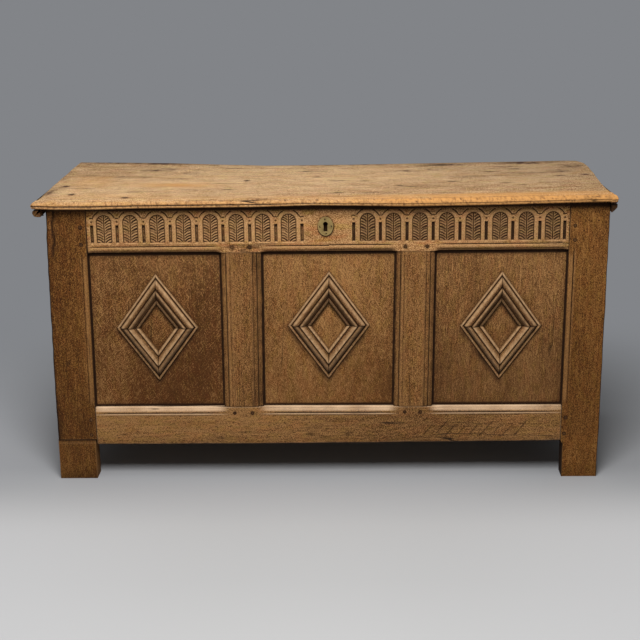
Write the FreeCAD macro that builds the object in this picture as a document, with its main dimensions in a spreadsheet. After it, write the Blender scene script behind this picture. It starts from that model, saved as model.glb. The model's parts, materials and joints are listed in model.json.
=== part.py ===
"""Joined coffer chest: four framed walls with floating panels, a plank lid on strap hinges and a lock.

The frame is +Z up, the front faces -Y, and the origin is on the floor below the middle of the lid.
Every driving dimension is a cell of the Sizes sheet, every place worked out from them is a cell of
the Places sheet, and the pieces are bound to those cells.
"""
import FreeCAD, Part

import math
import os
import re

import Sketcher

SIZES = {
    # lid
    "lid_width": 1310,
    "lid_depth": 490,
    "lid_thickness": 18,
    "lid_side_overhang": 20,
    "lid_front_overhang": 20,
    "lid_rear_overhang": 20,
    "lid_front_board_depth": 285,
    "lid_tongue_length": 8,
    "lid_tongue_thickness": 6,
    "lid_joint_clearance": 0.1,
    "lid_top_arris": 4,
    "lid_bottom_arris": 3,
    "cleat_width": 15,
    "cleat_height": 22,
    "cleat_bevel": 6,
    "cleat_side_gap": 4,
    "cleat_end_inset": 5,
    # carcass
    "body_height": 660,
    "leg_height": 88,
    "stile_width": 92,
    "stile_thickness": 44,
    "rail_thickness": 32,
    "side_rail_thickness": 28,
    "top_rail_height": 110,
    "bottom_rail_height": 92,
    "muntin_width": 90,
    "side_muntin_width": 80,
    "foot_height": 97,
    "foot_proud": 1,
    "foot_tongue_width": 40,
    "foot_tongue_thickness": 14,
    "foot_tongue_length": 30,
    # mortise and tenon joints
    "tenon_thickness": 10,
    "tenon_setback": 12,
    "side_tenon_setback": 9,
    "tenon_length": 45,
    "side_tenon_length": 30,
    "muntin_tenon_length": 40,
    "tenon_haunch": 10,
    "mortise_clearance": 0.1,
    "mortise_depth_play": 1,
    # panels
    "panel_thickness": 12,
    "panel_setback": 13,
    "side_panel_setback": 10,
    "panel_bevel": 30,
    "panel_clearance": 0.2,
    "panel_play": 1,
    "groove_width": 8,
    "groove_depth": 9,
    "moulding_radius": 11,
    # floor
    "floor_thickness": 14,
    "floor_height": 104,
    "floor_groove_depth": 8,
    "floor_clearance": 0.1,
    "floor_play": 0.5,
    "floor_board_gap": 1,
    # pegs
    "peg_radius": 4.5,
    "peg_clearance": 0.05,
    "peg_inset": 16,
    "peg_length": 26,
    "rail_peg_margin": 21,
    "rail_peg_spacing": 38,
    "muntin_peg_inset": 14,
    "muntin_peg_spacing": 42,
    # carved frieze
    "arch_pitch": 60,
    "arch_first": 88,
    "arch_width": 34.5,
    "arch_height": 64.5,
    "arch_rise": 25,
    "flute_width": 6.5,
    "flute_height": 37,
    "flute_rise": 26,
    "carving_depth": 2.5,
    # applied lozenges
    "lozenge_width": 185,
    "lozenge_height": 253,
    "strip_width": 44,
    "strip_ridge": 17,
    "strip_step": 15,
    "strip_edge": 7,
    "strip_lip": 8,
    "strip_bead": 5,
    "strip_quirk": 1.5,
    "strip_quirk_step": 1,
    "strip_ovolo": 12,
    "strip_fillet": 3,
    "strip_flat": 6.5,
    "strip_cove": 12,
    # hinges
    "hinge_inset": 235,
    "hinge_width": 32,
    "hinge_barrel_radius": 5,
    "hinge_pin_radius": 2.5,
    "hinge_pin_clearance": 0.05,
    "hinge_gap": 0.5,
    "hinge_knuckle_gap": 0.3,
    "hinge_knuckle_width": 12,
    "leaf_thickness": 3,
    "leaf_drop": 75,
    "strap_length": 230,
    "strap_tip_width": 18,
    "strap_point": 14,
    "strap_nail_spacing": 62,
    "strap_first_nail": 75,
    "leaf_nail_top": 36,
    "leaf_nail_spacing": 26,
    # nails
    "nail_radius": 1.6,
    "nail_head_radius": 5,
    "nail_head_thickness": 1.6,
    "nail_clearance": 0.05,
    "nail_grip": 12,
    "cleat_nail_spacing": 105,
    "floor_nail_inset": 60,
    "floor_nail_margin": 16,
    # lock
    "lock_offset": -4,
    "lock_width": 100,
    "lock_height": 78,
    "lock_depth": 30,
    "lock_wall": 2.5,
    "lock_top_gap": 8,
    "lock_flange": 12,
    "keyhole_below_lid": 39,
    "keyhole_radius": 5.4,
    "keyhole_slot_width": 8.6,
    "keyhole_drop": 17,
    "escutcheon_width": 36.6,
    "escutcheon_height": 46.5,
    "escutcheon_thickness": 1.5,
    "escutcheon_sink": 7,
    "escutcheon_pin_radius": 1.5,
    "escutcheon_pin_length": 8,
    "escutcheon_pin_inset": 4,
    "bolt_length": 60,
    "bolt_height": 9,
    "bolt_thickness": 6,
    "bolt_top": 20,
    "bolt_talon_width": 12,
    "bolt_talon_depth": 3,
    "bolt_clearance": 0.2,
    "bolt_set_back": 3,
    "bolt_guide_width": 5,
    "bolt_guide_wall": 5,
    "bolt_guide_inset": 10,
    "staple_offset": 28,
    "staple_thickness": 5,
    "staple_wire": 4.5,
    "staple_eye_width": 10,
    "staple_eye_height": 13,
    "staple_plate_width": 50,
    "staple_nail_spacing": 33.4,
    "staple_plate_depth": 24,
    "staple_plate_thickness": 3,
    "staple_clearance": 2,
    "spring_thickness": 1,
    "spring_gap": 0.3,
}

# Places worked out from the sizes, each an expression of the cells above it.
PLACES = {
    "lid_front": "-lid_depth / 2",
    "lid_back": "lid_depth / 2",
    "lid_top": "body_height + lid_thickness",
    "lid_joint": "lid_front + lid_front_board_depth",
    "lid_middle": "body_height + lid_thickness / 2",
    "body_front": "lid_front + lid_front_overhang",
    "body_back": "lid_back - lid_rear_overhang",
    "body_side": "lid_width / 2 - lid_side_overhang",
    "stile_edge": "body_side - stile_width",
    "front_shoulder": "body_front + stile_thickness",
    "back_shoulder": "body_back - stile_thickness",
    "bottom_rail_top": "leg_height + bottom_rail_height",
    "top_rail_bottom": "body_height - top_rail_height",
    "panel_width": "(2 * stile_edge - 2 * muntin_width) / 3",
    "muntin_centre": "panel_width / 2 + muntin_width / 2",
    "panel_middle": "(bottom_rail_top + top_rail_bottom) / 2",
    "floor_top": "floor_height + floor_thickness",
    "rail_inner_face": "body_front + rail_thickness",
    "hinge_depth": "body_back + hinge_barrel_radius + hinge_gap",
    "hinge_height": "body_height - hinge_barrel_radius - hinge_gap",
    "lock_top": "body_height - lock_top_gap",
    "lock_bottom": "lock_top - lock_height",
    "lock_back": "rail_inner_face + lock_depth",
    "lock_centre": "rail_inner_face + lock_depth / 2",
    "staple_place": "lock_offset + staple_offset",
    "staple_half": "staple_eye_width / 2 + staple_wire",
    "bolt_upper": "body_height - bolt_top",
    "bolt_lower": "bolt_upper - bolt_height",
    "bolt_tip": "staple_place - staple_thickness / 2 - bolt_set_back",
    "bolt_tail": "bolt_tip - bolt_length",
    "keyhole_height": "body_height - keyhole_below_lid",
    "escutcheon_middle": "keyhole_height - escutcheon_sink",
    "cleat_inner": "body_side + cleat_side_gap",
}

ARCHES_PER_SIDE = 8
FLOOR_BOARDS = 4
LID_BOARDS = ("lid_front_board", "lid_rear_board")
PARTS_FOLDER = "parts"
TURNS = {
    "x": FreeCAD.Rotation(FreeCAD.Vector(0, 1, 0), 90),
    "y": FreeCAD.Rotation(FreeCAD.Vector(1, 0, 0), -90),
    "z": FreeCAD.Rotation(),
}

doc = FreeCAD.newDocument("coffer_chest")


def qualified(text):
    """Write each size or place named in an expression as its sheet's cell."""

    def cell(match):
        word = match.group(0)
        if word in SIZES:
            return "Sizes." + word
        if word in PLACES:
            return "Places." + word
        return word

    return re.sub(r"[A-Za-z_]\w*", cell, str(text))


def make_sheet(name, cells, as_formula):
    """Make a spreadsheet with one aliased cell for each entry."""
    sheet = doc.addObject("Spreadsheet::Sheet", name)
    for row, (alias, content) in enumerate(cells.items(), start=1):
        sheet.set(f"A{row}", alias)
        sheet.set(f"B{row}", "=" + own_cells(content) if as_formula else str(content))
        sheet.setAlias(f"B{row}", alias)
    doc.recompute()
    return sheet


def own_cells(text):
    """Qualify only the sizes: a place names its neighbours in the same sheet."""
    return re.sub(
        r"[A-Za-z_]\w*",
        lambda match: "Sizes." + match.group(0) if match.group(0) in SIZES else match.group(0),
        text,
    )


class Piece:
    """One sub-part: the solids it is made of, and what is cut from them."""

    def __init__(self, label):
        self.label = label
        self.solids = []
        self.cutters = []
        self.grouped = False

    def finish(self):
        """Join the solids, take the cutters away and return the labelled result."""
        if self.grouped:
            result = doc.addObject("Part::Compound", self.label)
            result.Links = self.solids
        else:
            result = fused(self.label + "_solid", self.solids)
        if self.cutters:
            whole = result
            result = doc.addObject("Part::Cut", self.label + "_cut")
            result.Base = whole
            result.Tool = fused(self.label + "_cutter", self.cutters)
            result.Refine = True
        result.Label = self.label
        return result


pieces = {}


def piece(label):
    """Return the sub-part of that label, made on its first mention."""
    if label not in pieces:
        pieces[label] = Piece(label)
    return pieces[label]


def fused(name, items):
    """Join several solids; a single one is returned as it is."""
    if len(items) == 1:
        return items[0]
    result = doc.addObject("Part::MultiFuse", name)
    result.Shapes = items
    result.Refine = True
    return result


def block(name, corner, opposite):
    """Make a box between two opposite corners, each three expressions in any order."""
    item = doc.addObject("Part::Box", name)
    for axis, side, one, other in zip("xyz", ("Length", "Width", "Height"), corner, opposite):
        item.setExpression(side, qualified(f"abs(({other}) - ({one}))"))
        item.setExpression(f"Placement.Base.{axis}", qualified(f"min({one}; {other})"))
    return item


def rod(name, axis, start, end, radius):
    """Make a cylinder along an axis between two points, each three expressions."""
    item = doc.addObject("Part::Cylinder", name)
    item.Placement = FreeCAD.Placement(FreeCAD.Vector(), TURNS[axis])
    item.setExpression("Radius", qualified(radius))
    for letter, one, other in zip("xyz", start, end):
        if letter == axis:
            item.setExpression("Height", qualified(f"abs(({other}) - ({one}))"))
            item.setExpression(f"Placement.Base.{letter}", qualified(f"min({one}; {other})"))
        else:
            item.setExpression(f"Placement.Base.{letter}", qualified(one))
    return item


def difference(name, base, tool):
    """Cut one solid from another."""
    result = doc.addObject("Part::Cut", name)
    result.Base = base
    result.Tool = tool
    return result


def origin_plane(body, role):
    """Return one of a body's own origin planes."""
    return next(item for item in body.Origin.OriginFeatures if item.Role == role)


def outline(body, name, role, corners, offset="0"):
    """Sketch a closed polygon, each corner a pair of expressions, on an origin plane."""
    sketch = body.newObject("Sketcher::SketchObject", name)
    sketch.AttachmentSupport = [(origin_plane(body, role), "")]
    sketch.MapMode = "FlatFace"
    sketch.setExpression("AttachmentOffset.Base.z", qualified(offset))
    count = len(corners)
    start = [
        FreeCAD.Vector(math.cos(math.tau * turn / count), math.sin(math.tau * turn / count), 0)
        for turn in range(count)
    ]
    for index in range(count):
        sketch.addGeometry(Part.LineSegment(start[index], start[(index + 1) % count]), False)
    for index in range(count):
        sketch.addConstraint(Sketcher.Constraint("Coincident", index, 2, (index + 1) % count, 1))
    for index, (across, upward) in enumerate(corners):
        for kind, value, text in (
            ("DistanceX", start[index].x, across),
            ("DistanceY", start[index].y, upward),
        ):
            number = sketch.addConstraint(Sketcher.Constraint(kind, -1, 1, index, 1, value))
            sketch.setExpression(f"Constraints[{number}]", qualified(text))
    return sketch


def extruded(label, role, corners, offset, length):
    """Make a body by padding an outline from an offset along its plane's normal."""
    body = doc.addObject("PartDesign::Body", label + "_body")
    sketch = outline(body, label + "_outline", role, corners, offset)
    pad = body.newObject("PartDesign::Pad", label + "_pad")
    pad.Profile = sketch
    pad.setExpression("Length", qualified(length))
    return body


class Wall:
    """One framed side of the chest, in its own terms.

    A point is (along, deep, high): along the wall, inward from its outer face, and up.
    """

    def __init__(self, name, axis, face, inward, turn, shoulders, stiles, sizes):
        self.name = name
        self.axis = axis
        self.face = face
        self.inward = inward
        self.turn = turn
        self.shoulders = shoulders
        self.stiles = stiles
        self.thickness, self.tenon_setback, self.panel_setback, self.tenon_length = sizes
        self.pegs = piece("side_pegs" if axis == "y" else name + "_pegs")
        self.pegs.grouped = True

    def point(self, along, deep, high):
        """Return the x, y and z expressions of a point of the wall."""
        depth = f"({self.face}) {self.inward} ({deep})"
        if self.axis == "x":
            return (along, depth, high)
        return (depth, along, high)

    def box(self, name, low, high):
        """Make a box between two points of the wall."""
        return block(self.name + "_" + name, self.point(*low), self.point(*high))

    def peg(self, name, along, high, held):
        """Drive a peg from the outer face through the named pieces."""
        across = "y" if self.axis == "x" else "x"
        start = self.point(along, "0", high)
        end = self.point(along, "peg_length", high)
        self.pegs.solids.append(rod(name, across, start, end, "peg_radius"))
        hole = rod(name + "_hole", across, start, end, "peg_radius + peg_clearance")
        for label in held:
            piece(label).cutters.append(hole)

    def rail(self, label, bottom, top, tenon_bottom, tenon_top):
        """Make a rail with a tenon at each end, mortised and pegged into the wall's stiles."""
        rail = piece(label)
        low, high = self.shoulders
        rail.solids.append(
            block(label + "_bar", self.point(low, "0", bottom), self.point(high, self.thickness, top))
        )
        near = self.tenon_setback
        far = f"{near} + tenon_thickness"
        for shoulder, sign, stile in zip(self.shoulders, "-+", self.stiles):
            end = f"{shoulder} {sign} {self.tenon_length}"
            rail.solids.append(
                block(f"{label}_tenon_{stile}", self.point(shoulder, near, tenon_bottom),
                      self.point(end, far, tenon_top))
            )
            piece(stile).cutters.append(
                block(f"{label}_mortise_{stile}",
                      self.point(shoulder, f"{near} - mortise_clearance",
                                 f"{tenon_bottom} - mortise_clearance"),
                      self.point(f"{end} {sign} mortise_depth_play", f"{far} + mortise_clearance",
                                 f"{tenon_top} + mortise_clearance"))
            )
            for step, height in enumerate(("rail_peg_margin", "rail_peg_margin + rail_peg_spacing")):
                self.peg(f"{label}_{stile}_peg_{step}", f"{shoulder} {sign} peg_inset",
                         f"{bottom} + {height}", (label, stile))

    def panel_groove(self, label, edge, towards):
        """Plough the upright groove that holds a panel's edge into a stile or muntin."""
        near = self.panel_setback
        piece(label).cutters.append(
            self.box(f"{label}_groove_{towards_name(towards)}",
                     (edge, near, "bottom_rail_top - tenon_haunch"),
                     (f"{edge} {towards} groove_depth", f"{near} + groove_width",
                      "top_rail_bottom + tenon_haunch"))
        )

    def rail_groove(self, label, edge, towards):
        """Plough the groove along a rail's panel edge, from shoulder to shoulder."""
        low, high = self.shoulders
        near = self.panel_setback
        piece(label).cutters.append(
            self.box(f"{label}_groove", (low, near, edge),
                     (high, f"{near} + groove_width", f"{edge} {towards} groove_depth"))
        )

    def muntin(self, label, centre, width, rails):
        """Make a muntin with a tenon into each rail, its two panel grooves and its pegs."""
        muntin = piece(label)
        low = f"{centre} - {width} / 2"
        high = f"{centre} + {width} / 2"
        muntin.solids.append(
            block(label + "_bar", self.point(low, "0", "bottom_rail_top"),
                  self.point(high, self.thickness, "top_rail_bottom"))
        )
        near = self.tenon_setback
        far = f"{near} + tenon_thickness"
        ends = (("bottom_rail_top", "-", rails[0]), ("top_rail_bottom", "+", rails[1]))
        for edge, sign, rail in ends:
            tip = f"{edge} {sign} muntin_tenon_length"
            muntin.solids.append(
                block(f"{label}_tenon_{rail}", self.point(f"{low} + tenon_haunch", near, edge),
                      self.point(f"{high} - tenon_haunch", far, tip))
            )
            piece(rail).cutters.append(
                block(f"{label}_mortise_{rail}",
                      self.point(f"{low} + tenon_haunch - mortise_clearance",
                                 f"{near} - mortise_clearance", edge),
                      self.point(f"{high} - tenon_haunch + mortise_clearance",
                                 f"{far} + mortise_clearance", f"{tip} {sign} mortise_depth_play"))
            )
            for side in "-+":
                self.peg(f"{label}_{rail}_peg_{towards_name(side)}",
                         f"{centre} {side} muntin_peg_spacing / 2",
                         f"{edge} {sign} muntin_peg_inset", (label, rail))
        self.panel_groove(label, low, "+")
        self.panel_groove(label, high, "-")

    def panel(self, label, low, high):
        """Make a panel that floats in the grooves, flat outside and bevelled behind."""
        reach = "(groove_depth - panel_play)"
        edge = "(groove_width - 2 * panel_clearance)"
        front = f"{self.panel_setback} + panel_clearance"
        middle = f"((({low}) + ({high})) / 2)"
        half = f"(abs(({high}) - ({low})) / 2)"
        plate = block(
            label + "_plate",
            self.point(f"{middle} - {half} - {reach}", front, f"bottom_rail_top - {reach}"),
            self.point(f"{middle} + {half} + {reach}", f"{front} + {edge}", f"top_rail_bottom + {reach}"),
        )
        field = doc.addObject("Part::Wedge", label + "_field")
        across = f"{half} - panel_clearance"
        upward = "(top_rail_bottom - bottom_rail_top - 2 * panel_clearance)"
        for prop, text in {
            "Xmin": f"-({across})", "Xmax": across,
            "Ymin": "0", "Ymax": f"panel_thickness - {edge}",
            "Zmin": "0", "Zmax": upward,
            "X2min": f"-({across} - panel_bevel)", "X2max": f"{across} - panel_bevel",
            "Z2min": "panel_bevel", "Z2max": f"{upward} - panel_bevel",
        }.items():
            field.setExpression(prop, qualified(text))
        field.Placement = FreeCAD.Placement(
            FreeCAD.Vector(), FreeCAD.Rotation(FreeCAD.Vector(0, 0, 1), self.turn)
        )
        start = self.point(middle, f"{front} + {edge}", "bottom_rail_top + panel_clearance")
        for letter, text in zip("xyz", start):
            field.setExpression(f"Placement.Base.{letter}", qualified(text))
        piece(label).solids.extend([plate, field])

    def ovolo_along(self, label, name, low, high, edge, towards):
        """Round a rail's panel edge between two muntins or stiles."""
        far = f"{edge} {towards} moulding_radius"
        corner = self.box(f"{name}_corner", (low, "0", edge), (high, "moulding_radius", far))
        round_bar = rod(self.name + f"_{name}_round", self.axis, self.point(low, "moulding_radius", far),
                        self.point(high, "moulding_radius", far), "moulding_radius")
        piece(label).cutters.append(difference(self.name + f"_{name}_ovolo", corner, round_bar))

    def ovolo_upright(self, label, name, edge, towards):
        """Round a muntin's panel edge between the rails."""
        far = f"{edge} {towards} moulding_radius"
        corner = self.box(f"{name}_corner", (edge, "0", "bottom_rail_top"),
                          (far, "moulding_radius", "top_rail_bottom"))
        round_bar = rod(self.name + f"_{name}_round", "z",
                        self.point(far, "moulding_radius", "bottom_rail_top"),
                        self.point(far, "moulding_radius", "top_rail_bottom"), "moulding_radius")
        piece(label).cutters.append(difference(self.name + f"_{name}_ovolo", corner, round_bar))


def towards_name(sign):
    """Name a direction, for labels."""
    return "high" if sign == "+" else "low"


def make_walls():
    """Return the four walls, with the stiles at the low and high end of each."""
    broad = ("rail_thickness", "tenon_setback", "panel_setback", "tenon_length")
    narrow = ("side_rail_thickness", "side_tenon_setback", "side_panel_setback", "side_tenon_length")
    across = ("-stile_edge", "stile_edge")
    deep = ("front_shoulder", "back_shoulder")
    return {
        "front": Wall("front", "x", "body_front", "+", 0, across,
                      ("front_left_stile", "front_right_stile"), broad),
        "rear": Wall("rear", "x", "body_back", "-", 180, across,
                     ("rear_left_stile", "rear_right_stile"), broad),
        "left": Wall("left", "y", "-body_side", "+", -90, deep,
                     ("front_left_stile", "rear_left_stile"), narrow),
        "right": Wall("right", "y", "body_side", "-", 90, deep,
                      ("front_right_stile", "rear_right_stile"), narrow),
    }


def make_stiles():
    """Make the four corner posts, and the block let in below the front left one."""
    for side, sign in (("left", "-"), ("right", "+")):
        for end, face, inward in (("front", "body_front", "+"), ("rear", "body_back", "-")):
            label = f"{end}_{side}_stile"
            foot = "foot_height" if label == "front_left_stile" else "0"
            piece(label).solids.append(
                block(label + "_post", (f"{sign}body_side", face, foot),
                      (f"{sign}stile_edge", f"{face} {inward} stile_thickness", "body_height"))
            )
    middle = "(-(body_side + stile_edge) / 2)"
    depth = "(body_front + stile_thickness / 2)"
    piece("front_left_stile").solids.append(
        block("foot_tongue", (f"{middle} - foot_tongue_width / 2", f"{depth} - foot_tongue_thickness / 2",
                              "foot_height - foot_tongue_length"),
              (f"{middle} + foot_tongue_width / 2", f"{depth} + foot_tongue_thickness / 2", "foot_height"))
    )
    foot = piece("front_left_foot_block")
    foot.solids.append(
        block("foot_block", ("-body_side - foot_proud", "body_front - foot_proud", "0"),
              ("-stile_edge", "front_shoulder", "foot_height"))
    )
    gap = "mortise_clearance"
    foot.cutters.append(
        block("foot_socket",
              (f"{middle} - foot_tongue_width / 2 - {gap}", f"{depth} - foot_tongue_thickness / 2 - {gap}",
               "foot_height - foot_tongue_length - mortise_depth_play"),
              (f"{middle} + foot_tongue_width / 2 + {gap}", f"{depth} + foot_tongue_thickness / 2 + {gap}",
               "foot_height"))
    )


def make_frames(walls):
    """Make the rails, muntins and panels of the four walls."""
    for name, wall in walls.items():
        bottom = "floor_top" if name == "rear" else "leg_height"
        rails = (f"{name}_bottom_rail", f"{name}_top_rail")
        wall.rail(rails[0], bottom, "bottom_rail_top", f"{bottom} + tenon_haunch",
                  "bottom_rail_top - tenon_haunch")
        wall.rail(rails[1], "top_rail_bottom", "body_height", "top_rail_bottom + tenon_haunch",
                  "body_height - tenon_haunch")
        wall.rail_groove(rails[0], "bottom_rail_top", "-")
        wall.rail_groove(rails[1], "top_rail_bottom", "+")
        for stile, edge, towards in zip(wall.stiles, wall.shoulders, "-+"):
            wall.panel_groove(stile, edge, towards)
        if wall.axis == "x":
            wall.muntin(f"{name}_left_muntin", "(-muntin_centre)", "muntin_width", rails)
            wall.muntin(f"{name}_right_muntin", "muntin_centre", "muntin_width", rails)
            inner = "panel_width / 2"
            outer = "panel_width / 2 + muntin_width"
            wall.panel(f"{name}_left_panel", "-stile_edge", f"-({outer})")
            wall.panel(f"{name}_centre_panel", f"-({inner})", inner)
            wall.panel(f"{name}_right_panel", outer, "stile_edge")
        else:
            middle = "((front_shoulder + back_shoulder) / 2)"
            wall.muntin(f"{name}_muntin", middle, "side_muntin_width", rails)
            wall.panel(f"{name}_front_panel", "front_shoulder", f"{middle} - side_muntin_width / 2")
            wall.panel(f"{name}_rear_panel", f"{middle} + side_muntin_width / 2", "back_shoulder")


def make_front_mouldings(front):
    """Run the ovolo round the panel openings of the front."""
    inner = "panel_width / 2"
    outer = f"({inner} + muntin_width)"
    openings = {
        "left": ("-stile_edge", f"-{outer}"),
        "centre": (f"-{inner}", inner),
        "right": (outer, "stile_edge"),
    }
    for name, (low, high) in openings.items():
        front.ovolo_along("front_top_rail", f"{name}_upper", low, high, "top_rail_bottom", "+")
        front.ovolo_along("front_bottom_rail", f"{name}_lower", low, high, "bottom_rail_top", "-")
    for side, sign in (("left", "-"), ("right", "+")):
        centre = f"{sign}muntin_centre"
        label = f"front_{side}_muntin"
        front.ovolo_upright(label, f"{side}_muntin_low", f"{centre} - muntin_width / 2", "+")
        front.ovolo_upright(label, f"{side}_muntin_high", f"{centre} + muntin_width / 2", "-")


def make_frieze(front):
    """Carve the arcade of round-headed recesses, and the flutes between them, in the top rail."""
    rail = piece("front_top_rail")
    foot = "(top_rail_bottom + arch_rise)"
    spring = f"({foot} + arch_height - arch_width / 2)"
    for side, sign in (("left", "-"), ("right", "+")):
        for number in range(ARCHES_PER_SIDE):
            centre = f"({sign}(arch_first + {number} * arch_pitch))"
            name = f"arch_{side}_{number}"
            recess = front.box(name + "_bay", (f"{centre} - arch_width / 2", "0", foot),
                               (f"{centre} + arch_width / 2", "carving_depth", spring))
            head = rod(name + "_head", "y", front.point(centre, "0", spring),
                       front.point(centre, "carving_depth", spring), "arch_width / 2")
            rail.cutters.extend([recess, head])
        for number in range(ARCHES_PER_SIDE + 1):
            centre = f"({sign}(arch_first + ({number} - 0.5) * arch_pitch))"
            rail.cutters.append(
                front.box(f"flute_{side}_{number}",
                          (f"{centre} - flute_width / 2", "0", "top_rail_bottom + flute_rise"),
                          (f"{centre} + flute_width / 2", "carving_depth",
                           "top_rail_bottom + flute_rise + flute_height"))
            )


def make_lozenge(label, centre):
    """Make a lozenge of four mitred moulding strips, planted on a panel."""
    half_width = "(lozenge_width / 2)"
    half_height = "(lozenge_height / 2)"
    slant = f"hypot({half_width}; {half_height})"
    reach = f"({half_width} * {half_height} / {slant})"
    profile = [
        ("0", "0"),
        ("0", "strip_edge"),
        ("strip_bead", "strip_edge"),
        ("strip_bead + strip_quirk", "strip_edge + strip_quirk_step"),
        ("strip_bead + strip_quirk + strip_ovolo", "strip_step"),
        ("strip_bead + strip_quirk + strip_ovolo + strip_fillet", "strip_ridge"),
        ("strip_bead + strip_quirk + strip_ovolo + strip_fillet + strip_flat", "strip_ridge"),
        ("strip_bead + strip_quirk + strip_ovolo + strip_fillet + strip_flat + strip_cove", "strip_lip"),
        ("strip_width", "strip_lip"),
        ("strip_width", "0"),
    ]
    lozenge = piece(label)
    lozenge.grouped = True
    angle = f"atan({half_width} / {half_height})"
    surface = "(body_front + panel_setback + panel_clearance)"
    corners = [(f"({reach} - ({across}))", f"-({up})") for across, up in profile]
    for number, (right, upward) in enumerate(((1, 1), (-1, 1), (-1, -1), (1, -1))):
        name = f"{label}_strip_{number}"
        body = extruded(name, "XY_Plane", corners, f"-{slant}", f"2 * {slant}")
        body.Placement.Rotation = FreeCAD.Rotation(FreeCAD.Vector(0, -upward, 0), 45)
        turned = angle if right > 0 else f"180 deg - {angle}"
        body.setExpression("Placement.Rotation.Angle", qualified(turned))
        for letter, text in zip("xyz", (centre, surface, "panel_middle")):
            body.setExpression(f"Placement.Base.{letter}", qualified(text))
        quarter = block(name + "_quarter", (centre, f"{surface} - 2 * strip_ridge", "panel_middle"),
                        (f"{centre} + {right} * lozenge_width", surface,
                         f"panel_middle + {upward} * lozenge_height"))
        strip = doc.addObject("Part::Common", name)
        strip.Base = body
        strip.Tool = quarter
        lozenge.solids.append(strip)


def make_floor():
    """Lay the floor boards from front to back, housed in the rails and nailed up behind."""
    low = "(-body_side + side_rail_thickness - floor_groove_depth + floor_play)"
    width = f"((-2 * {low} - {FLOOR_BOARDS - 1} * floor_board_gap) / {FLOOR_BOARDS})"
    start = "rail_inner_face - floor_groove_depth + floor_play"
    nails = piece("floor_nails")
    nails.grouped = True
    for number in range(FLOOR_BOARDS):
        label = f"floor_board_{number + 1}"
        left = f"({low} + {number} * ({width} + floor_board_gap))"
        right = f"({left} + {width})"
        board = piece(label)
        board.solids.append(
            block(label + "_plank", (left, start, "floor_height"), (right, "body_back", "floor_top"))
        )
        for place in (f"max({left} + floor_nail_inset; -stile_edge + floor_nail_margin)",
                      f"min({right} - floor_nail_inset; stile_edge - floor_nail_margin)"):
            drive_nail(nails, f"{label}_nail_{len(nails.solids)}", "z",
                       (place, "body_back - floor_nail_margin", "floor_height"),
                       "floor_thickness + nail_grip", "+", (label, "rear_bottom_rail"))
    for label, sign in (("floor_board_1", "-"), (f"floor_board_{FLOOR_BOARDS}", "+")):
        for end, edge, outer in (("front", "front_shoulder + floor_play", "body_front"),
                                 ("rear", "back_shoulder - floor_play", "body_back")):
            piece(label).cutters.append(
                block(f"{label}_{end}_notch", (f"{sign}(stile_edge - floor_play)", edge, "floor_height"),
                      (f"{sign}body_side", outer, "floor_top"))
            )
    housing = (("floor_height - floor_clearance"), ("floor_top + floor_clearance"))
    piece("front_bottom_rail").cutters.append(
        block("floor_groove_front", ("-stile_edge", "rail_inner_face - floor_groove_depth", housing[0]),
              ("stile_edge", "rail_inner_face", housing[1]))
    )
    for side, sign in (("left", "-"), ("right", "+")):
        inner = f"{sign}(body_side - side_rail_thickness)"
        piece(f"{side}_bottom_rail").cutters.append(
            block(f"floor_groove_{side}", (inner, "front_shoulder", housing[0]),
                  (f"{sign}(body_side - side_rail_thickness + floor_groove_depth)", "back_shoulder",
                   housing[1]))
        )


def drive_nail(group, name, axis, head, length, direction, held):
    """Drive a nail from its head's seat along an axis, and bore the pieces it holds."""
    back = "-" if direction == "+" else "+"
    step = {letter: index for index, letter in enumerate("xyz")}[axis]

    def along(distance, sign):
        point = list(head)
        point[step] = f"({head[step]}) {sign} ({distance})"
        return point

    tip = along(length, direction)
    shank = rod(name + "_shank", axis, head, tip, "nail_radius")
    cap = rod(name + "_head", axis, head, along("nail_head_thickness", back), "nail_head_radius")
    group.solids.append(fused(name, [shank, cap]))
    hole = rod(name + "_hole", axis, head, tip, "nail_radius + nail_clearance")
    for label in held:
        piece(label).cutters.append(hole)


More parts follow.
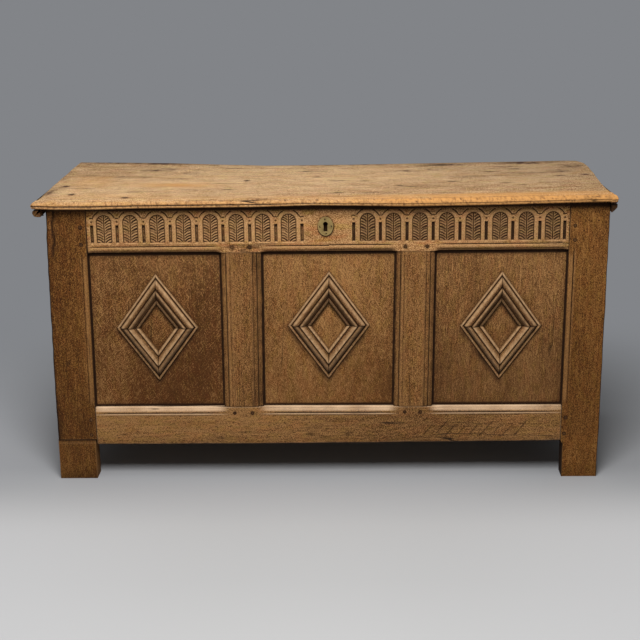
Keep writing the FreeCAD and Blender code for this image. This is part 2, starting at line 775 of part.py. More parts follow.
def make_lid():
    """Make the two lid boards, tongued together, and the cleats under their ends."""
    half = "(lid_tongue_thickness / 2)"
    gap = "lid_joint_clearance"
    front = [
        ("lid_front + lid_bottom_arris", "body_height"),
        ("lid_joint", "body_height"),
        ("lid_joint", f"lid_middle - {half} - {gap}"),
        (f"lid_joint - lid_tongue_length - {gap}", f"lid_middle - {half} - {gap}"),
        (f"lid_joint - lid_tongue_length - {gap}", f"lid_middle + {half} + {gap}"),
        ("lid_joint", f"lid_middle + {half} + {gap}"),
        ("lid_joint", "lid_top"),
        ("lid_front + lid_top_arris", "lid_top"),
        ("lid_front", "lid_top - lid_top_arris"),
        ("lid_front", "body_height + lid_bottom_arris"),
    ]
    rear = [
        ("lid_joint", "body_height"),
        ("lid_back", "body_height"),
        ("lid_back", "lid_top"),
        ("lid_joint", "lid_top"),
        ("lid_joint", f"lid_middle + {half}"),
        ("lid_joint - lid_tongue_length", f"lid_middle + {half}"),
        ("lid_joint - lid_tongue_length", f"lid_middle - {half}"),
        ("lid_joint", f"lid_middle - {half}"),
    ]
    for label, corners in zip(LID_BOARDS, (front, rear)):
        piece(label).solids.append(extruded(label, "YZ_Plane", corners, "-lid_width / 2", "lid_width"))
    nails = piece("cleat_nails")
    nails.grouped = True
    for side, sign in (("left", "-"), ("right", "+")):
        label = f"lid_{side}_cleat"
        outer = "(cleat_inner + cleat_width)"
        section = [
            ("cleat_inner", "body_height"),
            ("cleat_inner", "body_height - cleat_height"),
            (f"{outer} - cleat_bevel", "body_height - cleat_height"),
            (outer, "body_height - cleat_height + cleat_bevel"),
            (outer, "body_height"),
        ]
        section = [(f"{sign}({across})", high) for across, high in section]
        piece(label).solids.append(
            extruded(label, "XZ_Plane", section, "-(lid_back - cleat_end_inset)",
                     "lid_depth - 2 * cleat_end_inset")
        )
        for number in (-2, -1, 0, 1, 2):
            place = f"{number} * cleat_nail_spacing"
            drive_nail(nails, f"{label}_nail_{number + 2}", "z",
                       (f"{sign}(cleat_inner + (cleat_width - cleat_bevel) / 2)", place,
                        "body_height - cleat_height"),
                       "cleat_height + nail_grip", "+", (label, *LID_BOARDS))


def make_hinge(side, sign):
    """Make one strap hinge: the lid's strap, the wall's leaf and their pin."""
    place = f"({sign}(body_side - hinge_inset))"
    half = "(hinge_width / 2)"
    knuckle = "(hinge_knuckle_width / 2)"
    axis_point = ("hinge_depth", "hinge_height")
    strap = piece(f"{side}_hinge_strap")
    tip = "(body_back - strap_length)"
    rear_edge = "(body_back - hinge_gap)"
    tip_half = "(strap_tip_width / 2)"
    shape = [
        (f"{place} - {knuckle}", "hinge_depth"),
        (f"{place} - {knuckle}", rear_edge),
        (f"{place} - {half}", rear_edge),
        (f"{place} - {tip_half}", f"{tip} + strap_point"),
        (place, tip),
        (f"{place} + {tip_half}", f"{tip} + strap_point"),
        (f"{place} + {half}", rear_edge),
        (f"{place} + {knuckle}", rear_edge),
        (f"{place} + {knuckle}", "hinge_depth"),
    ]
    strap.solids.append(
        extruded(f"{side}_hinge_strap", "XY_Plane", shape, "body_height - leaf_thickness", "leaf_thickness")
    )
    strap.solids.append(
        rod(f"{side}_strap_knuckle", "x", (f"{place} - {knuckle}", *axis_point),
            (f"{place} + {knuckle}", *axis_point), "hinge_barrel_radius")
    )
    leaf = piece(f"{side}_hinge_leaf")
    leaf.solids.append(
        block(f"{side}_leaf_plate", (f"{place} - {half}", "body_back", "hinge_height - leaf_drop"),
              (f"{place} + {half}", "body_back + leaf_thickness", "hinge_height"))
    )
    inner = f"({knuckle} + hinge_knuckle_gap)"
    for end in "-+":
        leaf.solids.append(
            rod(f"{side}_leaf_knuckle_{towards_name(end)}", "x", (f"{place} {end} {inner}", *axis_point),
                (f"{place} {end} {half}", *axis_point), "hinge_barrel_radius")
        )
    leaf.cutters.append(
        block(f"{side}_leaf_gap",
              (f"{place} - {inner}", "body_back", "hinge_height - hinge_barrel_radius - hinge_gap"),
              (f"{place} + {inner}", "body_back + leaf_thickness", "hinge_height"))
    )
    pin_ends = ((f"{place} - {half}", *axis_point), (f"{place} + {half}", *axis_point))
    pin_hole = rod(f"{side}_pin_hole", "x", *pin_ends, "hinge_pin_radius + hinge_pin_clearance")
    strap.cutters.append(pin_hole)
    leaf.cutters.append(pin_hole)
    pins = piece("hinge_pins")
    pins.grouped = True
    pins.solids.append(rod(f"{side}_pin", "x", *pin_ends, "hinge_pin_radius"))
    piece("rear_top_rail").cutters.append(
        block(f"{side}_hinge_housing",
              (f"{place} - {half} - hinge_gap", "body_back - rail_thickness",
               "body_height - leaf_thickness - hinge_gap"),
              (f"{place} + {half} + hinge_gap", "body_back", "body_height"))
    )
    make_hinge_nails(side, place)


def make_hinge_nails(side, place):
    """Nail a hinge's strap up into the lid and its leaf into the rear rail."""
    strap_nails = piece("strap_nails")
    strap_nails.grouped = True
    for number in range(3):
        depth = f"body_back - strap_first_nail - {number} * strap_nail_spacing"
        drive_nail(strap_nails, f"{side}_strap_nail_{number}", "z",
                   (place, depth, "body_height - leaf_thickness"), "leaf_thickness + nail_grip", "+",
                   (f"{side}_hinge_strap", *LID_BOARDS))
    leaf_nails = piece("leaf_nails")
    leaf_nails.grouped = True
    for number in range(2):
        height = f"hinge_height - leaf_nail_top - {number} * leaf_nail_spacing"
        drive_nail(leaf_nails, f"{side}_leaf_nail_{number}", "y",
                   (place, "body_back + leaf_thickness", height), "leaf_thickness + nail_grip", "-",
                   (f"{side}_hinge_leaf", "rear_top_rail"))


def make_keyhole():
    """Cut the keyhole through the top rail and its escutcheon, and pin the escutcheon on."""
    for label, name in (("front_top_rail", "rail"), ("escutcheon", "plate")):
        piece(label).cutters.extend([
            rod(f"{name}_keyhole_eye", "y",
                ("lock_offset", "body_front - escutcheon_thickness", "keyhole_height"),
                ("lock_offset", "rail_inner_face", "keyhole_height"), "keyhole_radius"),
            block(f"{name}_keyhole_slot",
                  ("lock_offset - keyhole_slot_width / 2", "body_front - escutcheon_thickness",
                   "keyhole_height - keyhole_drop"),
                  ("lock_offset + keyhole_slot_width / 2", "rail_inner_face", "keyhole_height")),
        ])
    oval = doc.addObject("Part::Ellipse", "escutcheon_oval")
    oval.setExpression("MajorRadius", qualified("escutcheon_height / 2"))
    oval.setExpression("MinorRadius", qualified("escutcheon_width / 2"))
    oval.Placement = FreeCAD.Placement(FreeCAD.Vector(), FreeCAD.Rotation(FreeCAD.Vector(1, 1, 1), 240))
    for letter, text in zip("xyz", ("lock_offset", "body_front", "escutcheon_middle")):
        oval.setExpression(f"Placement.Base.{letter}", qualified(text))
    plate = doc.addObject("Part::Extrusion", "escutcheon_plate")
    plate.Base = oval
    plate.DirMode = "Custom"
    plate.Dir = FreeCAD.Vector(0, -1, 0)
    plate.setExpression("LengthFwd", qualified("escutcheon_thickness"))
    plate.Solid = True
    piece("escutcheon").solids.append(plate)
    pins = piece("escutcheon_pins")
    pins.grouped = True
    across = "escutcheon_width / 2 - escutcheon_pin_inset"
    upward = "escutcheon_height / 2 - escutcheon_pin_inset"
    spots = {
        "left": (f"lock_offset - ({across})", "escutcheon_middle"),
        "right": (f"lock_offset + ({across})", "escutcheon_middle"),
        "top": ("lock_offset", f"escutcheon_middle + ({upward})"),
        "bottom": ("lock_offset", f"escutcheon_middle - ({upward})"),
    }
    for name, (place, height) in spots.items():
        start = (place, "body_front - escutcheon_thickness", height)
        end = (place, "body_front - escutcheon_thickness + escutcheon_pin_length", height)
        pins.solids.append(rod(f"escutcheon_pin_{name}", "y", start, end, "escutcheon_pin_radius"))
        hole = rod(f"escutcheon_pin_{name}_hole", "y", start, end, "escutcheon_pin_radius + nail_clearance")
        piece("escutcheon").cutters.append(hole)
        piece("front_top_rail").cutters.append(hole)


def make_lock():
    """Make the lock inside the top rail: its case, sliding bolt, spring and nails."""
    case = piece("lock_case")
    low = "(lock_offset - lock_width / 2)"
    high = "(lock_offset + lock_width / 2)"
    half_bolt = "(bolt_thickness / 2)"
    shell = block("lock_box", (low, "rail_inner_face", "lock_bottom"), (high, "lock_back", "lock_top"))
    hollow = block("lock_hollow", (f"{low} + lock_wall", "rail_inner_face", "lock_bottom + lock_wall"),
                   (f"{high} - lock_wall", "lock_back - lock_wall", "lock_top - lock_wall"))
    case.solids.append(difference("lock_shell", shell, hollow))
    for name, inner, sign in (("low", low, "-"), ("high", high, "+")):
        case.solids.append(
            block(f"lock_flange_{name}", (inner, "rail_inner_face", "lock_bottom"),
                  (f"{inner} {sign} lock_flange", "rail_inner_face + lock_wall", "lock_top"))
        )
    slot_half_width = "(staple_thickness / 2 + staple_clearance)"
    slot_half_depth = "(staple_half + staple_clearance)"
    case.cutters.append(
        block("lock_staple_slot",
              (f"staple_place - {slot_half_width}", f"lock_centre - {slot_half_depth}",
               "lock_top - lock_wall"),
              (f"staple_place + {slot_half_width}", f"lock_centre + {slot_half_depth}", "lock_top"))
    )
    guides = ("(bolt_tail + bolt_guide_width)", "(bolt_tip - bolt_guide_inset - bolt_guide_width)")
    for number, start in enumerate(guides):
        end = f"{start} + bolt_guide_width"
        case.solids.append(
            block(f"bolt_guide_{number}", (start, f"lock_centre - {half_bolt} - bolt_guide_wall",
                                           "bolt_lower - bolt_guide_wall"),
                  (end, "lock_back - lock_wall", "bolt_upper + bolt_guide_wall"))
        )
        case.cutters.append(
            block(f"bolt_window_{number}",
                  (start, f"lock_centre - {half_bolt} - bolt_clearance", "bolt_lower - bolt_clearance"),
                  (end, f"lock_centre + {half_bolt} + bolt_clearance", "bolt_upper + bolt_clearance"))
        )
    bolt = piece("lock_bolt")
    bolt.solids.append(
        block("bolt_bar", ("bolt_tail", f"lock_centre - {half_bolt}", "bolt_lower"),
              ("bolt_tip", f"lock_centre + {half_bolt}", "bolt_upper"))
    )
    bolt.cutters.append(
        block("bolt_talon", ("lock_offset - bolt_talon_width", f"lock_centre - {half_bolt}", "bolt_lower"),
              ("lock_offset", f"lock_centre + {half_bolt}", "bolt_lower + bolt_talon_depth"))
    )
    spring = piece("lock_spring")
    start = "(bolt_tail + 2 * bolt_guide_width + spring_gap)"
    end = "(bolt_tip - bolt_guide_inset - bolt_guide_width - spring_gap)"
    spring.solids.extend([
        block("spring_blade", (start, f"lock_centre - {half_bolt}", "bolt_upper + spring_gap"),
              (end, f"lock_centre + {half_bolt}", "bolt_upper + spring_gap + spring_thickness")),
        block("spring_root", (start, f"lock_centre - {half_bolt}", "bolt_upper + spring_gap"),
              (f"{start} + bolt_guide_width", "lock_back - lock_wall",
               "bolt_upper + spring_gap + spring_thickness")),
    ])
    nails = piece("lock_nails")
    nails.grouped = True
    for side, place in (("left", f"{low} - lock_flange / 2"), ("right", f"{high} + lock_flange / 2")):
        for level, height in (("lower", "lock_bottom + lock_flange"), ("upper", "lock_top - lock_flange")):
            drive_nail(nails, f"lock_nail_{side}_{level}", "y",
                       (place, "rail_inner_face + lock_wall", height), "lock_wall + nail_grip", "-",
                       ("lock_case", "front_top_rail"))


def make_staple():
    """Make the lid's staple, a plate under the lid with an eye that drops into the lock."""
    staple = piece("lid_staple")
    half_x = "(staple_thickness / 2)"
    plate_bottom = "(body_height - staple_plate_thickness)"
    eye_bottom = "(bolt_lower - (staple_eye_height - bolt_height) / 2)"
    staple.solids.append(
        block("staple_plate",
              ("staple_place - staple_plate_width / 2", "lock_centre - staple_plate_depth / 2",
               plate_bottom),
              ("staple_place + staple_plate_width / 2", "lock_centre + staple_plate_depth / 2",
               "body_height"))
    )
    staple.solids.append(
        block("staple_loop",
              (f"staple_place - {half_x}", "lock_centre - staple_half", f"{eye_bottom} - staple_wire"),
              (f"staple_place + {half_x}", "lock_centre + staple_half", plate_bottom))
    )
    staple.cutters.append(
        block("staple_eye", (f"staple_place - {half_x}", "lock_centre - staple_eye_width / 2", eye_bottom),
              (f"staple_place + {half_x}", "lock_centre + staple_eye_width / 2",
               f"{eye_bottom} + staple_eye_height"))
    )
    nails = piece("staple_nails")
    nails.grouped = True
    for side, sign in (("left", "-"), ("right", "+")):
        drive_nail(nails, f"staple_nail_{side}", "z",
                   (f"staple_place {sign} staple_nail_spacing / 2", "lock_centre", plate_bottom),
                   "staple_plate_thickness + nail_grip", "+", ("lid_staple", "lid_front_board"))


def check_document():
    """Stop with the names of objects that failed to rebuild."""
    failed = [
        item.Name for item in doc.Objects
        if "Invalid" in item.State or "Error" in item.State
    ]
    if failed:
        raise SystemExit("failed objects: " + ", ".join(failed))


def export(finished):
    """Check each sub-part's shape, then write them all."""
    for item in finished:
        if item.Shape.isNull() or not item.Shape.isValid() or not item.Shape.Solids:
            raise SystemExit("bad shape: " + item.Label)
    os.makedirs(PARTS_FOLDER, exist_ok=True)
    for item in finished:
        item.Shape.exportStep(os.path.join(PARTS_FOLDER, item.Label + ".step"))
        print(f"{item.Label}: {len(item.Shape.Solids)} solids, {item.Shape.Volume:.0f} mm3")


make_sheet("Sizes", SIZES, as_formula=False)
make_sheet("Places", PLACES, as_formula=True)
walls = make_walls()
make_stiles()
make_frames(walls)
make_front_mouldings(walls["front"])
make_frieze(walls["front"])
panel_step = "(panel_width + muntin_width)"
make_lozenge("left_lozenge", f"(-{panel_step})")
make_lozenge("centre_lozenge", "0")
make_lozenge("right_lozenge", panel_step)
make_floor()
make_lid()
make_hinge("left", "-")
make_hinge("right", "")
make_keyhole()
make_lock()
make_staple()
finished_pieces = [item.finish() for item in pieces.values()]
doc.recompute()
check_document()
export(finished_pieces)
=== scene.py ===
"""Visual model of a joined oak coffer: carved rail, panels with lozenges, worn plank lid and ironwork."""

import json
import logging
import math
from collections.abc import Callable, Iterable, Iterator, Sequence
from contextlib import contextmanager
from dataclasses import dataclass, field, replace
from enum import Enum

import bmesh
import bpy
import numpy as np
from mathutils import Matrix, Vector, noise

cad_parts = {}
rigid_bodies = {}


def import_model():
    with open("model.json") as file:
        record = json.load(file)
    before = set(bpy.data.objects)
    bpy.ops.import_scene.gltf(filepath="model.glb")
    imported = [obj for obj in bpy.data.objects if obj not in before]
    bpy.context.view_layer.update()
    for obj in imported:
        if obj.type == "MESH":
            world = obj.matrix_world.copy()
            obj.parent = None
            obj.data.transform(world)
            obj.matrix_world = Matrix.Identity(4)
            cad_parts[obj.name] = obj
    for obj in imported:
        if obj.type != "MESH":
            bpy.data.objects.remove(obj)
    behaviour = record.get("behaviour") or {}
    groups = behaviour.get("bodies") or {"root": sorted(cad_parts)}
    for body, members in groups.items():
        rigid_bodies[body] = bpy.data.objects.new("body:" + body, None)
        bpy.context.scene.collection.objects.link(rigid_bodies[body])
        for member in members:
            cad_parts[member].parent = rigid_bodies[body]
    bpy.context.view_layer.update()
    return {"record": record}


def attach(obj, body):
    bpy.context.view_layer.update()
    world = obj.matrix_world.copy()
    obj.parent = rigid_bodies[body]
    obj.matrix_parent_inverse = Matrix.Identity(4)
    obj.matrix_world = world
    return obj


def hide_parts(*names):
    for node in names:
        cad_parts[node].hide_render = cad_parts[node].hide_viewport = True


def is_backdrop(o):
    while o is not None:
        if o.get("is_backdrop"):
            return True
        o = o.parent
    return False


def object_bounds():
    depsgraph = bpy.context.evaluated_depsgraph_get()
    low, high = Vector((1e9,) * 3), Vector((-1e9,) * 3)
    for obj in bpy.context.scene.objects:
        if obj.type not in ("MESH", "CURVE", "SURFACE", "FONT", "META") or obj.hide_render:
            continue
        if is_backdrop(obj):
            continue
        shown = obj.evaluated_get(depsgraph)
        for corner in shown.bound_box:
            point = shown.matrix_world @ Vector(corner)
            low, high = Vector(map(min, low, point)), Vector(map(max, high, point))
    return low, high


LOG = logging.getLogger("coffer")
MM = 0.001

Colour = tuple[float, float, float]
Array = np.ndarray
Pair = tuple[Array, Array]
Mesh = bpy.types.Mesh
Span = tuple[float, float]
Shape = bmesh.types.BMesh

# Places that several assemblies share, in millimetres.
BODY_SIDE = 635.0
BODY_FRONT = -225.0
STILE_EDGE = 543.0
STILE_BACK = -181.0
RAIL_BACK = -193.0
RAIL_FOOT = 88.0
TENON_FRONT = -213.0
TENON_BACK = -203.0
TENON_END = 588.0
PANEL_FACE = -211.8
OPENING_BOTTOM = 180.0
OPENING_TOP = 550.0
OPENING_MIDDLE = (OPENING_BOTTOM + OPENING_TOP) / 2
OPENING_HALF = 151.0
BODY_TOP = 660.0
LOZENGE_CENTRES = {"left": -392.0, "centre": 0.0, "right": 392.0}
OPENINGS = tuple((centre - OPENING_HALF, centre + OPENING_HALF) for centre in LOZENGE_CENTRES.values())

# The noise is turned by this about X, in radians, so that no face lies along its grid.
NOISE_TWIST = 0.6

# Waves per metre along and across the fibres, for each layer of the oak's figure.
PATCH_WAVES = (1.6, 5, 5)
STREAK_WAVES = (20, 260, 260)
SPECKLE_WAVES = (480, 820, 820)
FLECK_WAVES = (42, 820, 820)
DASH_WAVES = (90, 480, 480)
SPLIT_WAVES = (1.4, 26, 26)
SPLIT_RUN_WAVES = (5, 14, 14)
RING_WAVES = (2.4, 7, 7)

# How the curves of a fine mesh turn into grime and wear: the reach in metres, and the gains.
CURVE_REACH = 0.004
GRIME_AND_SHADE_GAIN = 4.5
WEAR_AND_HIGHLIGHT_GAIN = 4.0
WEAR_AND_HIGHLIGHT_START = 0.08


def srgb(red: float, green: float, blue: float) -> Colour:
    """Turn a colour of 0 to 255 into the linear values that shaders take."""
    parts = (value / 255 for value in (red, green, blue))
    return tuple(part / 12.92 if part <= 0.04045 else ((part + 0.055) / 1.055) ** 2.4 for part in parts)


def smooth(value: Array, low: float, high: float) -> Array:
    """Rise smoothly from 0 at low to 1 at high.

    Args:
        value: The numbers to turn into shares.
        low: Where the rise starts.
        high: Where it ends; it may lie below low for a fall.

    Returns:
        The shares.
    """
    share = np.clip((value - low) / (high - low), 0, 1)
    return share * share * (3 - 2 * share)


def bump(value: Array, centre: float, width: float) -> Array:
    """Give a bell of height 1 round a centre."""
    return np.exp(-(((value - centre) / width) ** 2))


def rounding(distance: Array, radius: Array | float) -> Array:
    """Say how far a quarter round drops at a distance from its edge."""
    reach = np.clip(radius - distance, 0, radius)
    return radius - np.sqrt(np.maximum(radius**2 - reach**2, 0))


def waves(first: Array, second: Array, size: float, seed: float) -> Array:
    """Give soft noise of about -1 to 1 over two coordinates.

    Args:
        first: One coordinate.
        second: The other coordinate.
        size: The length of a wave, in the coordinates' unit.
        seed: A number that picks another pattern.

    Returns:
        The noise at each point.
    """
    flat = np.stack([np.ravel(first) / size, np.ravel(second) / size], 1)
    made = [noise.noise((a, b, seed)) for a, b in flat]
    return np.array(made).reshape(np.shape(first))


def steps(*runs: tuple[float, float, float]) -> Array:
    """Join runs of (start, end, spacing) into one rising list of places."""
    made = [np.linspace(start, end, max(2, round((end - start) / gap) + 1)) for start, end, gap in runs]
    return np.unique(np.round(np.concatenate(made), 3))


# ---------------- shader building


class Value:
    """A shader value that takes part in Python arithmetic."""

    def __init__(self, shader: "Shader", socket: bpy.types.NodeSocket) -> None:
        """Wrap one of a shader's sockets."""
        self.shader = shader
        self.socket = socket

    def maths(self, operation: str, *others: "Value | float") -> "Value":
        """Apply a Math node to this value and others."""
        return self.shader.maths(operation, self, *others)

    def __add__(self, other: "Value | float") -> "Value":
        """Add a value or a number."""
        return self.maths("ADD", other)

    def __sub__(self, other: "Value | float") -> "Value":
        """Take a value or a number away."""
        return self.maths("SUBTRACT", other)

    def __rsub__(self, other: float) -> "Value":
        """Take this value away from a number."""
        return self.shader.maths("SUBTRACT", other, self)

    def __mul__(self, other: "Value | float") -> "Value":
        """Multiply by a value or a number."""
        return self.maths("MULTIPLY", other)

    def __truediv__(self, other: "Value | float") -> "Value":
        """Divide by a value or a number."""
        return self.maths("DIVIDE", other)

    def __pow__(self, other: float) -> "Value":
        """Raise to a power."""
        return self.maths("POWER", other)

    __radd__ = __add__
    __rmul__ = __mul__

    def rise(self, low: float, high: float) -> "Value":
        """Rise smoothly between two levels.

        Args:
            low: The level that gives 0.
            high: The level that gives 1; where it is below low, the value falls instead.

        Returns:
            The share.
        """
        if high < low:
            return 1 - self.rise(high, low)
        settings = {"interpolation_type": "SMOOTHSTEP"}
        sockets = {"Value": self, "From Min": low, "From Max": high}
        return self.shader.value("ShaderNodeMapRange", settings, sockets, "Result")


class Shader:
    """The nodes of a material or a world, built from Python expressions."""

    def __init__(self, owner: bpy.types.Material | bpy.types.World) -> None:
        """Empty the owner's nodes and add its output.

        Args:
            owner: The material or the world.
        """
        self.owner = owner
        owner.use_nodes = True
        self.tree = owner.node_tree
        self.tree.nodes.clear()
        kind = "World" if isinstance(owner, bpy.types.World) else "Material"
        self.output = self.tree.nodes.new(f"ShaderNodeOutput{kind}")

    def close(self, surface: Value) -> None:
        """Link a finished surface to the output."""
        self.tree.links.new(surface.socket, self.output.inputs[0])

    def node(self, kind: str, settings: dict | None = None, sockets: dict | None = None) -> bpy.types.Node:
        """Add a node.

        Args:
            kind: The node's type.
            settings: Its own settings, and under "stops" a ramp's stops.
            sockets: Values or links of its inputs, by name or number.

        Returns:
            The node.
        """
        made = self.tree.nodes.new(kind)
        for key, value in (settings or {}).items():
            if key == "stops":
                ramp = made.color_ramp
                while len(ramp.elements) < len(value):
                    ramp.elements.new(0.5)
                for element, (place, colour) in zip(ramp.elements, value):
                    element.position = place
                    element.color = (*colour, 1)
            else:
                setattr(made, key, value)
        for key, value in (sockets or {}).items():
            self.feed(made.inputs[key], value)
        return made

    def feed(self, socket: bpy.types.NodeSocket, value: object) -> None:
        """Link a value to a socket, or write a plain number or colour into it.

        Args:
            socket: The socket that takes it.
            value: A Value, a number, or a colour of three parts.
        """
        if isinstance(value, Value):
            self.tree.links.new(value.socket, socket)
        elif isinstance(value, tuple) and len(value) == 3 and socket.type == "RGBA":
            socket.default_value = (*value, 1)
        else:
            socket.default_value = value

    def value(self, kind: str, settings: dict | None, sockets: dict | None, output: str | int) -> Value:
        """Add a node and return one of its outputs."""
        return Value(self, self.node(kind, settings, sockets).outputs[output])

    def maths(self, operation: str, *terms: Value | float) -> Value:
        """Add a Math node."""
        return self.value("ShaderNodeMath", {"operation": operation}, dict(enumerate(terms)), 0)

    def vector(self, operation: str, *terms: Value | tuple) -> Value:
        """Add a Vector Math node."""
        return self.value("ShaderNodeVectorMath", {"operation": operation}, dict(enumerate(terms)), 0)

    def place(self, turn: tuple = (0, 0, 0), shift: tuple = (0, 0, 0), twist: float = 0.0) -> Value:
        """Give Object coordinates, turned and shifted, and then twisted about X.

        Args:
            turn: The rotation about each axis.
            shift: The move along each axis.
            twist: The second rotation, about X.

        Returns:
            The coordinates.
        """
        made = self.value("ShaderNodeTexCoord", None, None, "Object")
        made = self.value("ShaderNodeMapping", None, {"Vector": made, "Rotation": turn, "Location": shift}, 0)
        return self.value("ShaderNodeMapping", None, {"Vector": made, "Rotation": (twist, 0, 0)}, 0)

    def noise(self, place: Value, stretch: tuple, detail: float = 2.0, rough: float = 0.5) -> Value:
        """Give noise of 0 to 1 with its own frequency along each axis.

        Args:
            place: The coordinates.
            stretch: The waves per metre along each axis.
            detail: How many finer layers it has.
            rough: How strong they are.

        Returns:
            The noise.
        """
        sockets = {"Vector": self.vector("MULTIPLY", place, stretch), "Scale": 1.0, "Detail": detail,
                   "Roughness": rough}
        return self.value("ShaderNodeTexNoise", None, sockets, 0)

    def attribute(self, name: str) -> Value:
        """Read a number painted on the mesh."""
        return self.value("ShaderNodeAttribute", {"attribute_name": name}, None, "Fac")

    def ramp(self, value: Value, stops: Sequence[tuple[float, Colour]]) -> Value:
        """Turn a value into a colour."""
        return self.value("ShaderNodeValToRGB", {"stops": stops}, {0: value}, 0)

    def mix(self, share: Value | float, first: Value | Colour, second: Value | Colour) -> Value:
        """Blend two colours."""
        return self.value("ShaderNodeMix", {"data_type": "RGBA"}, {0: share, 6: first, 7: second}, 2)

    def finish(self, colour: Value, roughness: Value, height: Value, depth: float, **sockets: float) -> None:
        """Close the material with a Principled shader.

        Args:
            colour: The base colour.
            roughness: The roughness.
            height: The relief that feeds a Bump node.
            depth: How deep a relief of 1 is, in metres.
            **sockets: Further plain values of the Principled shader, with _ for a space.
        """
        relief = self.value("ShaderNodeBump", None, {"Height": height, "Distance": depth, "Strength": 1.0}, 0)
        inputs = {"Base Color": colour, "Roughness": roughness, "Normal": relief}
        inputs.update({key.replace("_", " "): value for key, value in sockets.items()})
        self.close(self.value("ShaderNodeBsdfPrincipled", None, inputs, 0))


# ---------------- finishes


class Grain(Enum):
    """Which way the wood's fibres run, as the turn that brings them along X."""

    LEVEL = (0.0, 0.0, 0.0)
    UPRIGHT = (0.0, math.pi / 2, 0.0)
    DEEP = (0.0, 0.0, -math.pi / 2)
    RISING = (0.0, math.atan2(126.5, 92.5), 0.0)
    FALLING = (0.0, -math.atan2(126.5, 92.5), 0.0)


@dataclass(frozen=True)
class Oak:
    """Old oak: its tones, then the share of each layer of its figure, then its surface."""

    dark: Colour
    middle: Colour
    light: Colour
    grime: Colour = srgb(34, 17, 5)
    rubbed: Colour = srgb(180, 134, 84)
    patches: float = 0.8
    mottle: float = 0.25
    streak: float = 0.35
    speckle: float = 2.8
    fleck: float = 0.35
    calm: float = 0.0
    tints: float = 0.5
    lean: float = 0.1
    dash: float = 0.3
    figure: float = 0.0
    ring_width: float = 9.0
    cracks: float = 0.5
    gloss: float = 0.3
    specular: float = 0.14
    relief: float = 0.0005
    stretch: float = 1.0

    def material(self, name: str, grain: Grain, seed: int) -> bpy.types.Material:
        """Build the material of one timber.

        Args:
            name: The material's name.
            grain: Which way the fibres run.
            seed: Picks the timber's own pattern.

        Returns:
            The material.
        """
        shader = Shader(bpy.data.materials.new(name))
        shift = (seed * 1.37 % 5, seed * 0.73 % 3, seed * 0.91 % 4)
        place = shader.place(grain.value, shift, NOISE_TWIST)
        patches = shader.noise(place, PATCH_WAVES, 2, 0.5)
        mottle = shader.noise(place, (14 / self.stretch, 40, 40), 2, 0.6)
        streak = shader.noise(place, STREAK_WAVES, 2, 0.6)
        speckle = shader.noise(place, SPECKLE_WAVES, 1, 0.6)
        flecks = []
        for lean in (self.lean, -0.6 * self.lean):
            turn = (grain.value[0], grain.value[1] + lean, grain.value[2])
            leaning = shader.place(turn, shift, NOISE_TWIST)
            flecks.append(shader.noise(leaning, FLECK_WAVES, 1, 0.5).rise(0.58, 0.74))
        fleck = flecks[0].maths("MAXIMUM", flecks[1])
        dash = shader.noise(place, DASH_WAVES, 1, 0.5).rise(0.60, 0.70)
        split = shader.noise(place, SPLIT_WAVES, 3, 0.6) - 0.5
        split = split.maths("ABSOLUTE").rise(0.012, 0.002)
        split = split * shader.noise(place, SPLIT_RUN_WAVES, 1, 0.5).rise(0.58, 0.66) * self.cracks
        apart = shader.node("ShaderNodeSeparateXYZ", None, {0: shader.place()})
        calm = 1 - Value(shader, apart.outputs[2]).rise(0.5, 0.2) * self.calm
        tone = 0.5 + (patches - 0.5) * self.patches + (mottle - 0.5) * self.mottle
        fine = (streak - 0.5) * self.streak + (speckle - 0.5) * self.speckle
        tone = tone + (fine + fleck * self.fleck - dash * self.dash) * calm
        if self.figure:
            tone = tone + (self.rings(shader, shader.place(grain.value, shift)) - 0.5) * self.figure
        colour = shader.ramp(tone, ((0.12, self.dark), (0.5, self.middle), (0.88, self.light)))
        for stretch, tint in (((24, 60, 60), (1.0, 0.86, 0.82)), ((30, 70, 70), (0.90, 0.96, 0.72))):
            share = shader.noise(place, stretch, 1, 0.5).rise(0.48, 0.64) * self.tints
            colour = shader.mix(share, colour, shader.vector("MULTIPLY", colour, tint))
        # The attributes painted on the mesh carry dirt together with painted shade, and worn spots together
        # with painted highlights.
        wear = shader.attribute("wear") * (0.5 + streak * 0.5 + speckle * 0.5)
        grime = shader.attribute("grime") * (0.8 + mottle * 0.4)
        colour = shader.mix(wear.maths("MINIMUM", 1.0), colour, self.rubbed)
        colour = shader.mix(grime.maths("MINIMUM", 0.97), colour, self.grime)
        colour = shader.mix(split.maths("MINIMUM", 0.9), colour, srgb(22, 12, 6))
        rough = 0.78 - 0.25 * self.gloss + (speckle - 0.5) * 0.3 + grime * 0.15
        height = (streak - 0.5) * 0.5 + (speckle - 0.5) * 0.2 + fleck * 0.15 - dash * 0.3 - split * 3.0
        shader.finish(colour, rough, height, self.relief, Specular_IOR_Level=self.specular)
        return shader.owner

    def rings(self, shader: Shader, place: Value) -> Value:
        """Draw growth rings round a pith outside the timber, bent by slow noise.

        Args:
            shader: The timber's shader.
            place: Coordinates with X along the fibres.

        Returns:
            A value that swings between 0 and 1 from ring to ring.
        """
        bend = shader.noise(place, RING_WAVES, 3, 0.55)
        apart = shader.node("ShaderNodeSeparateXYZ", None, {0: place})
        across = Value(shader, apart.outputs[1])
        deep = Value(shader, apart.outputs[2])
        radius = (across * across * 0.35 + deep * deep).maths("SQRT")
        phase = (radius + (bend - 0.5) * 0.16) * (1000 / self.ring_width)
        return ((phase * math.tau).maths("SINE") * 0.5 + 0.5) ** 2.0


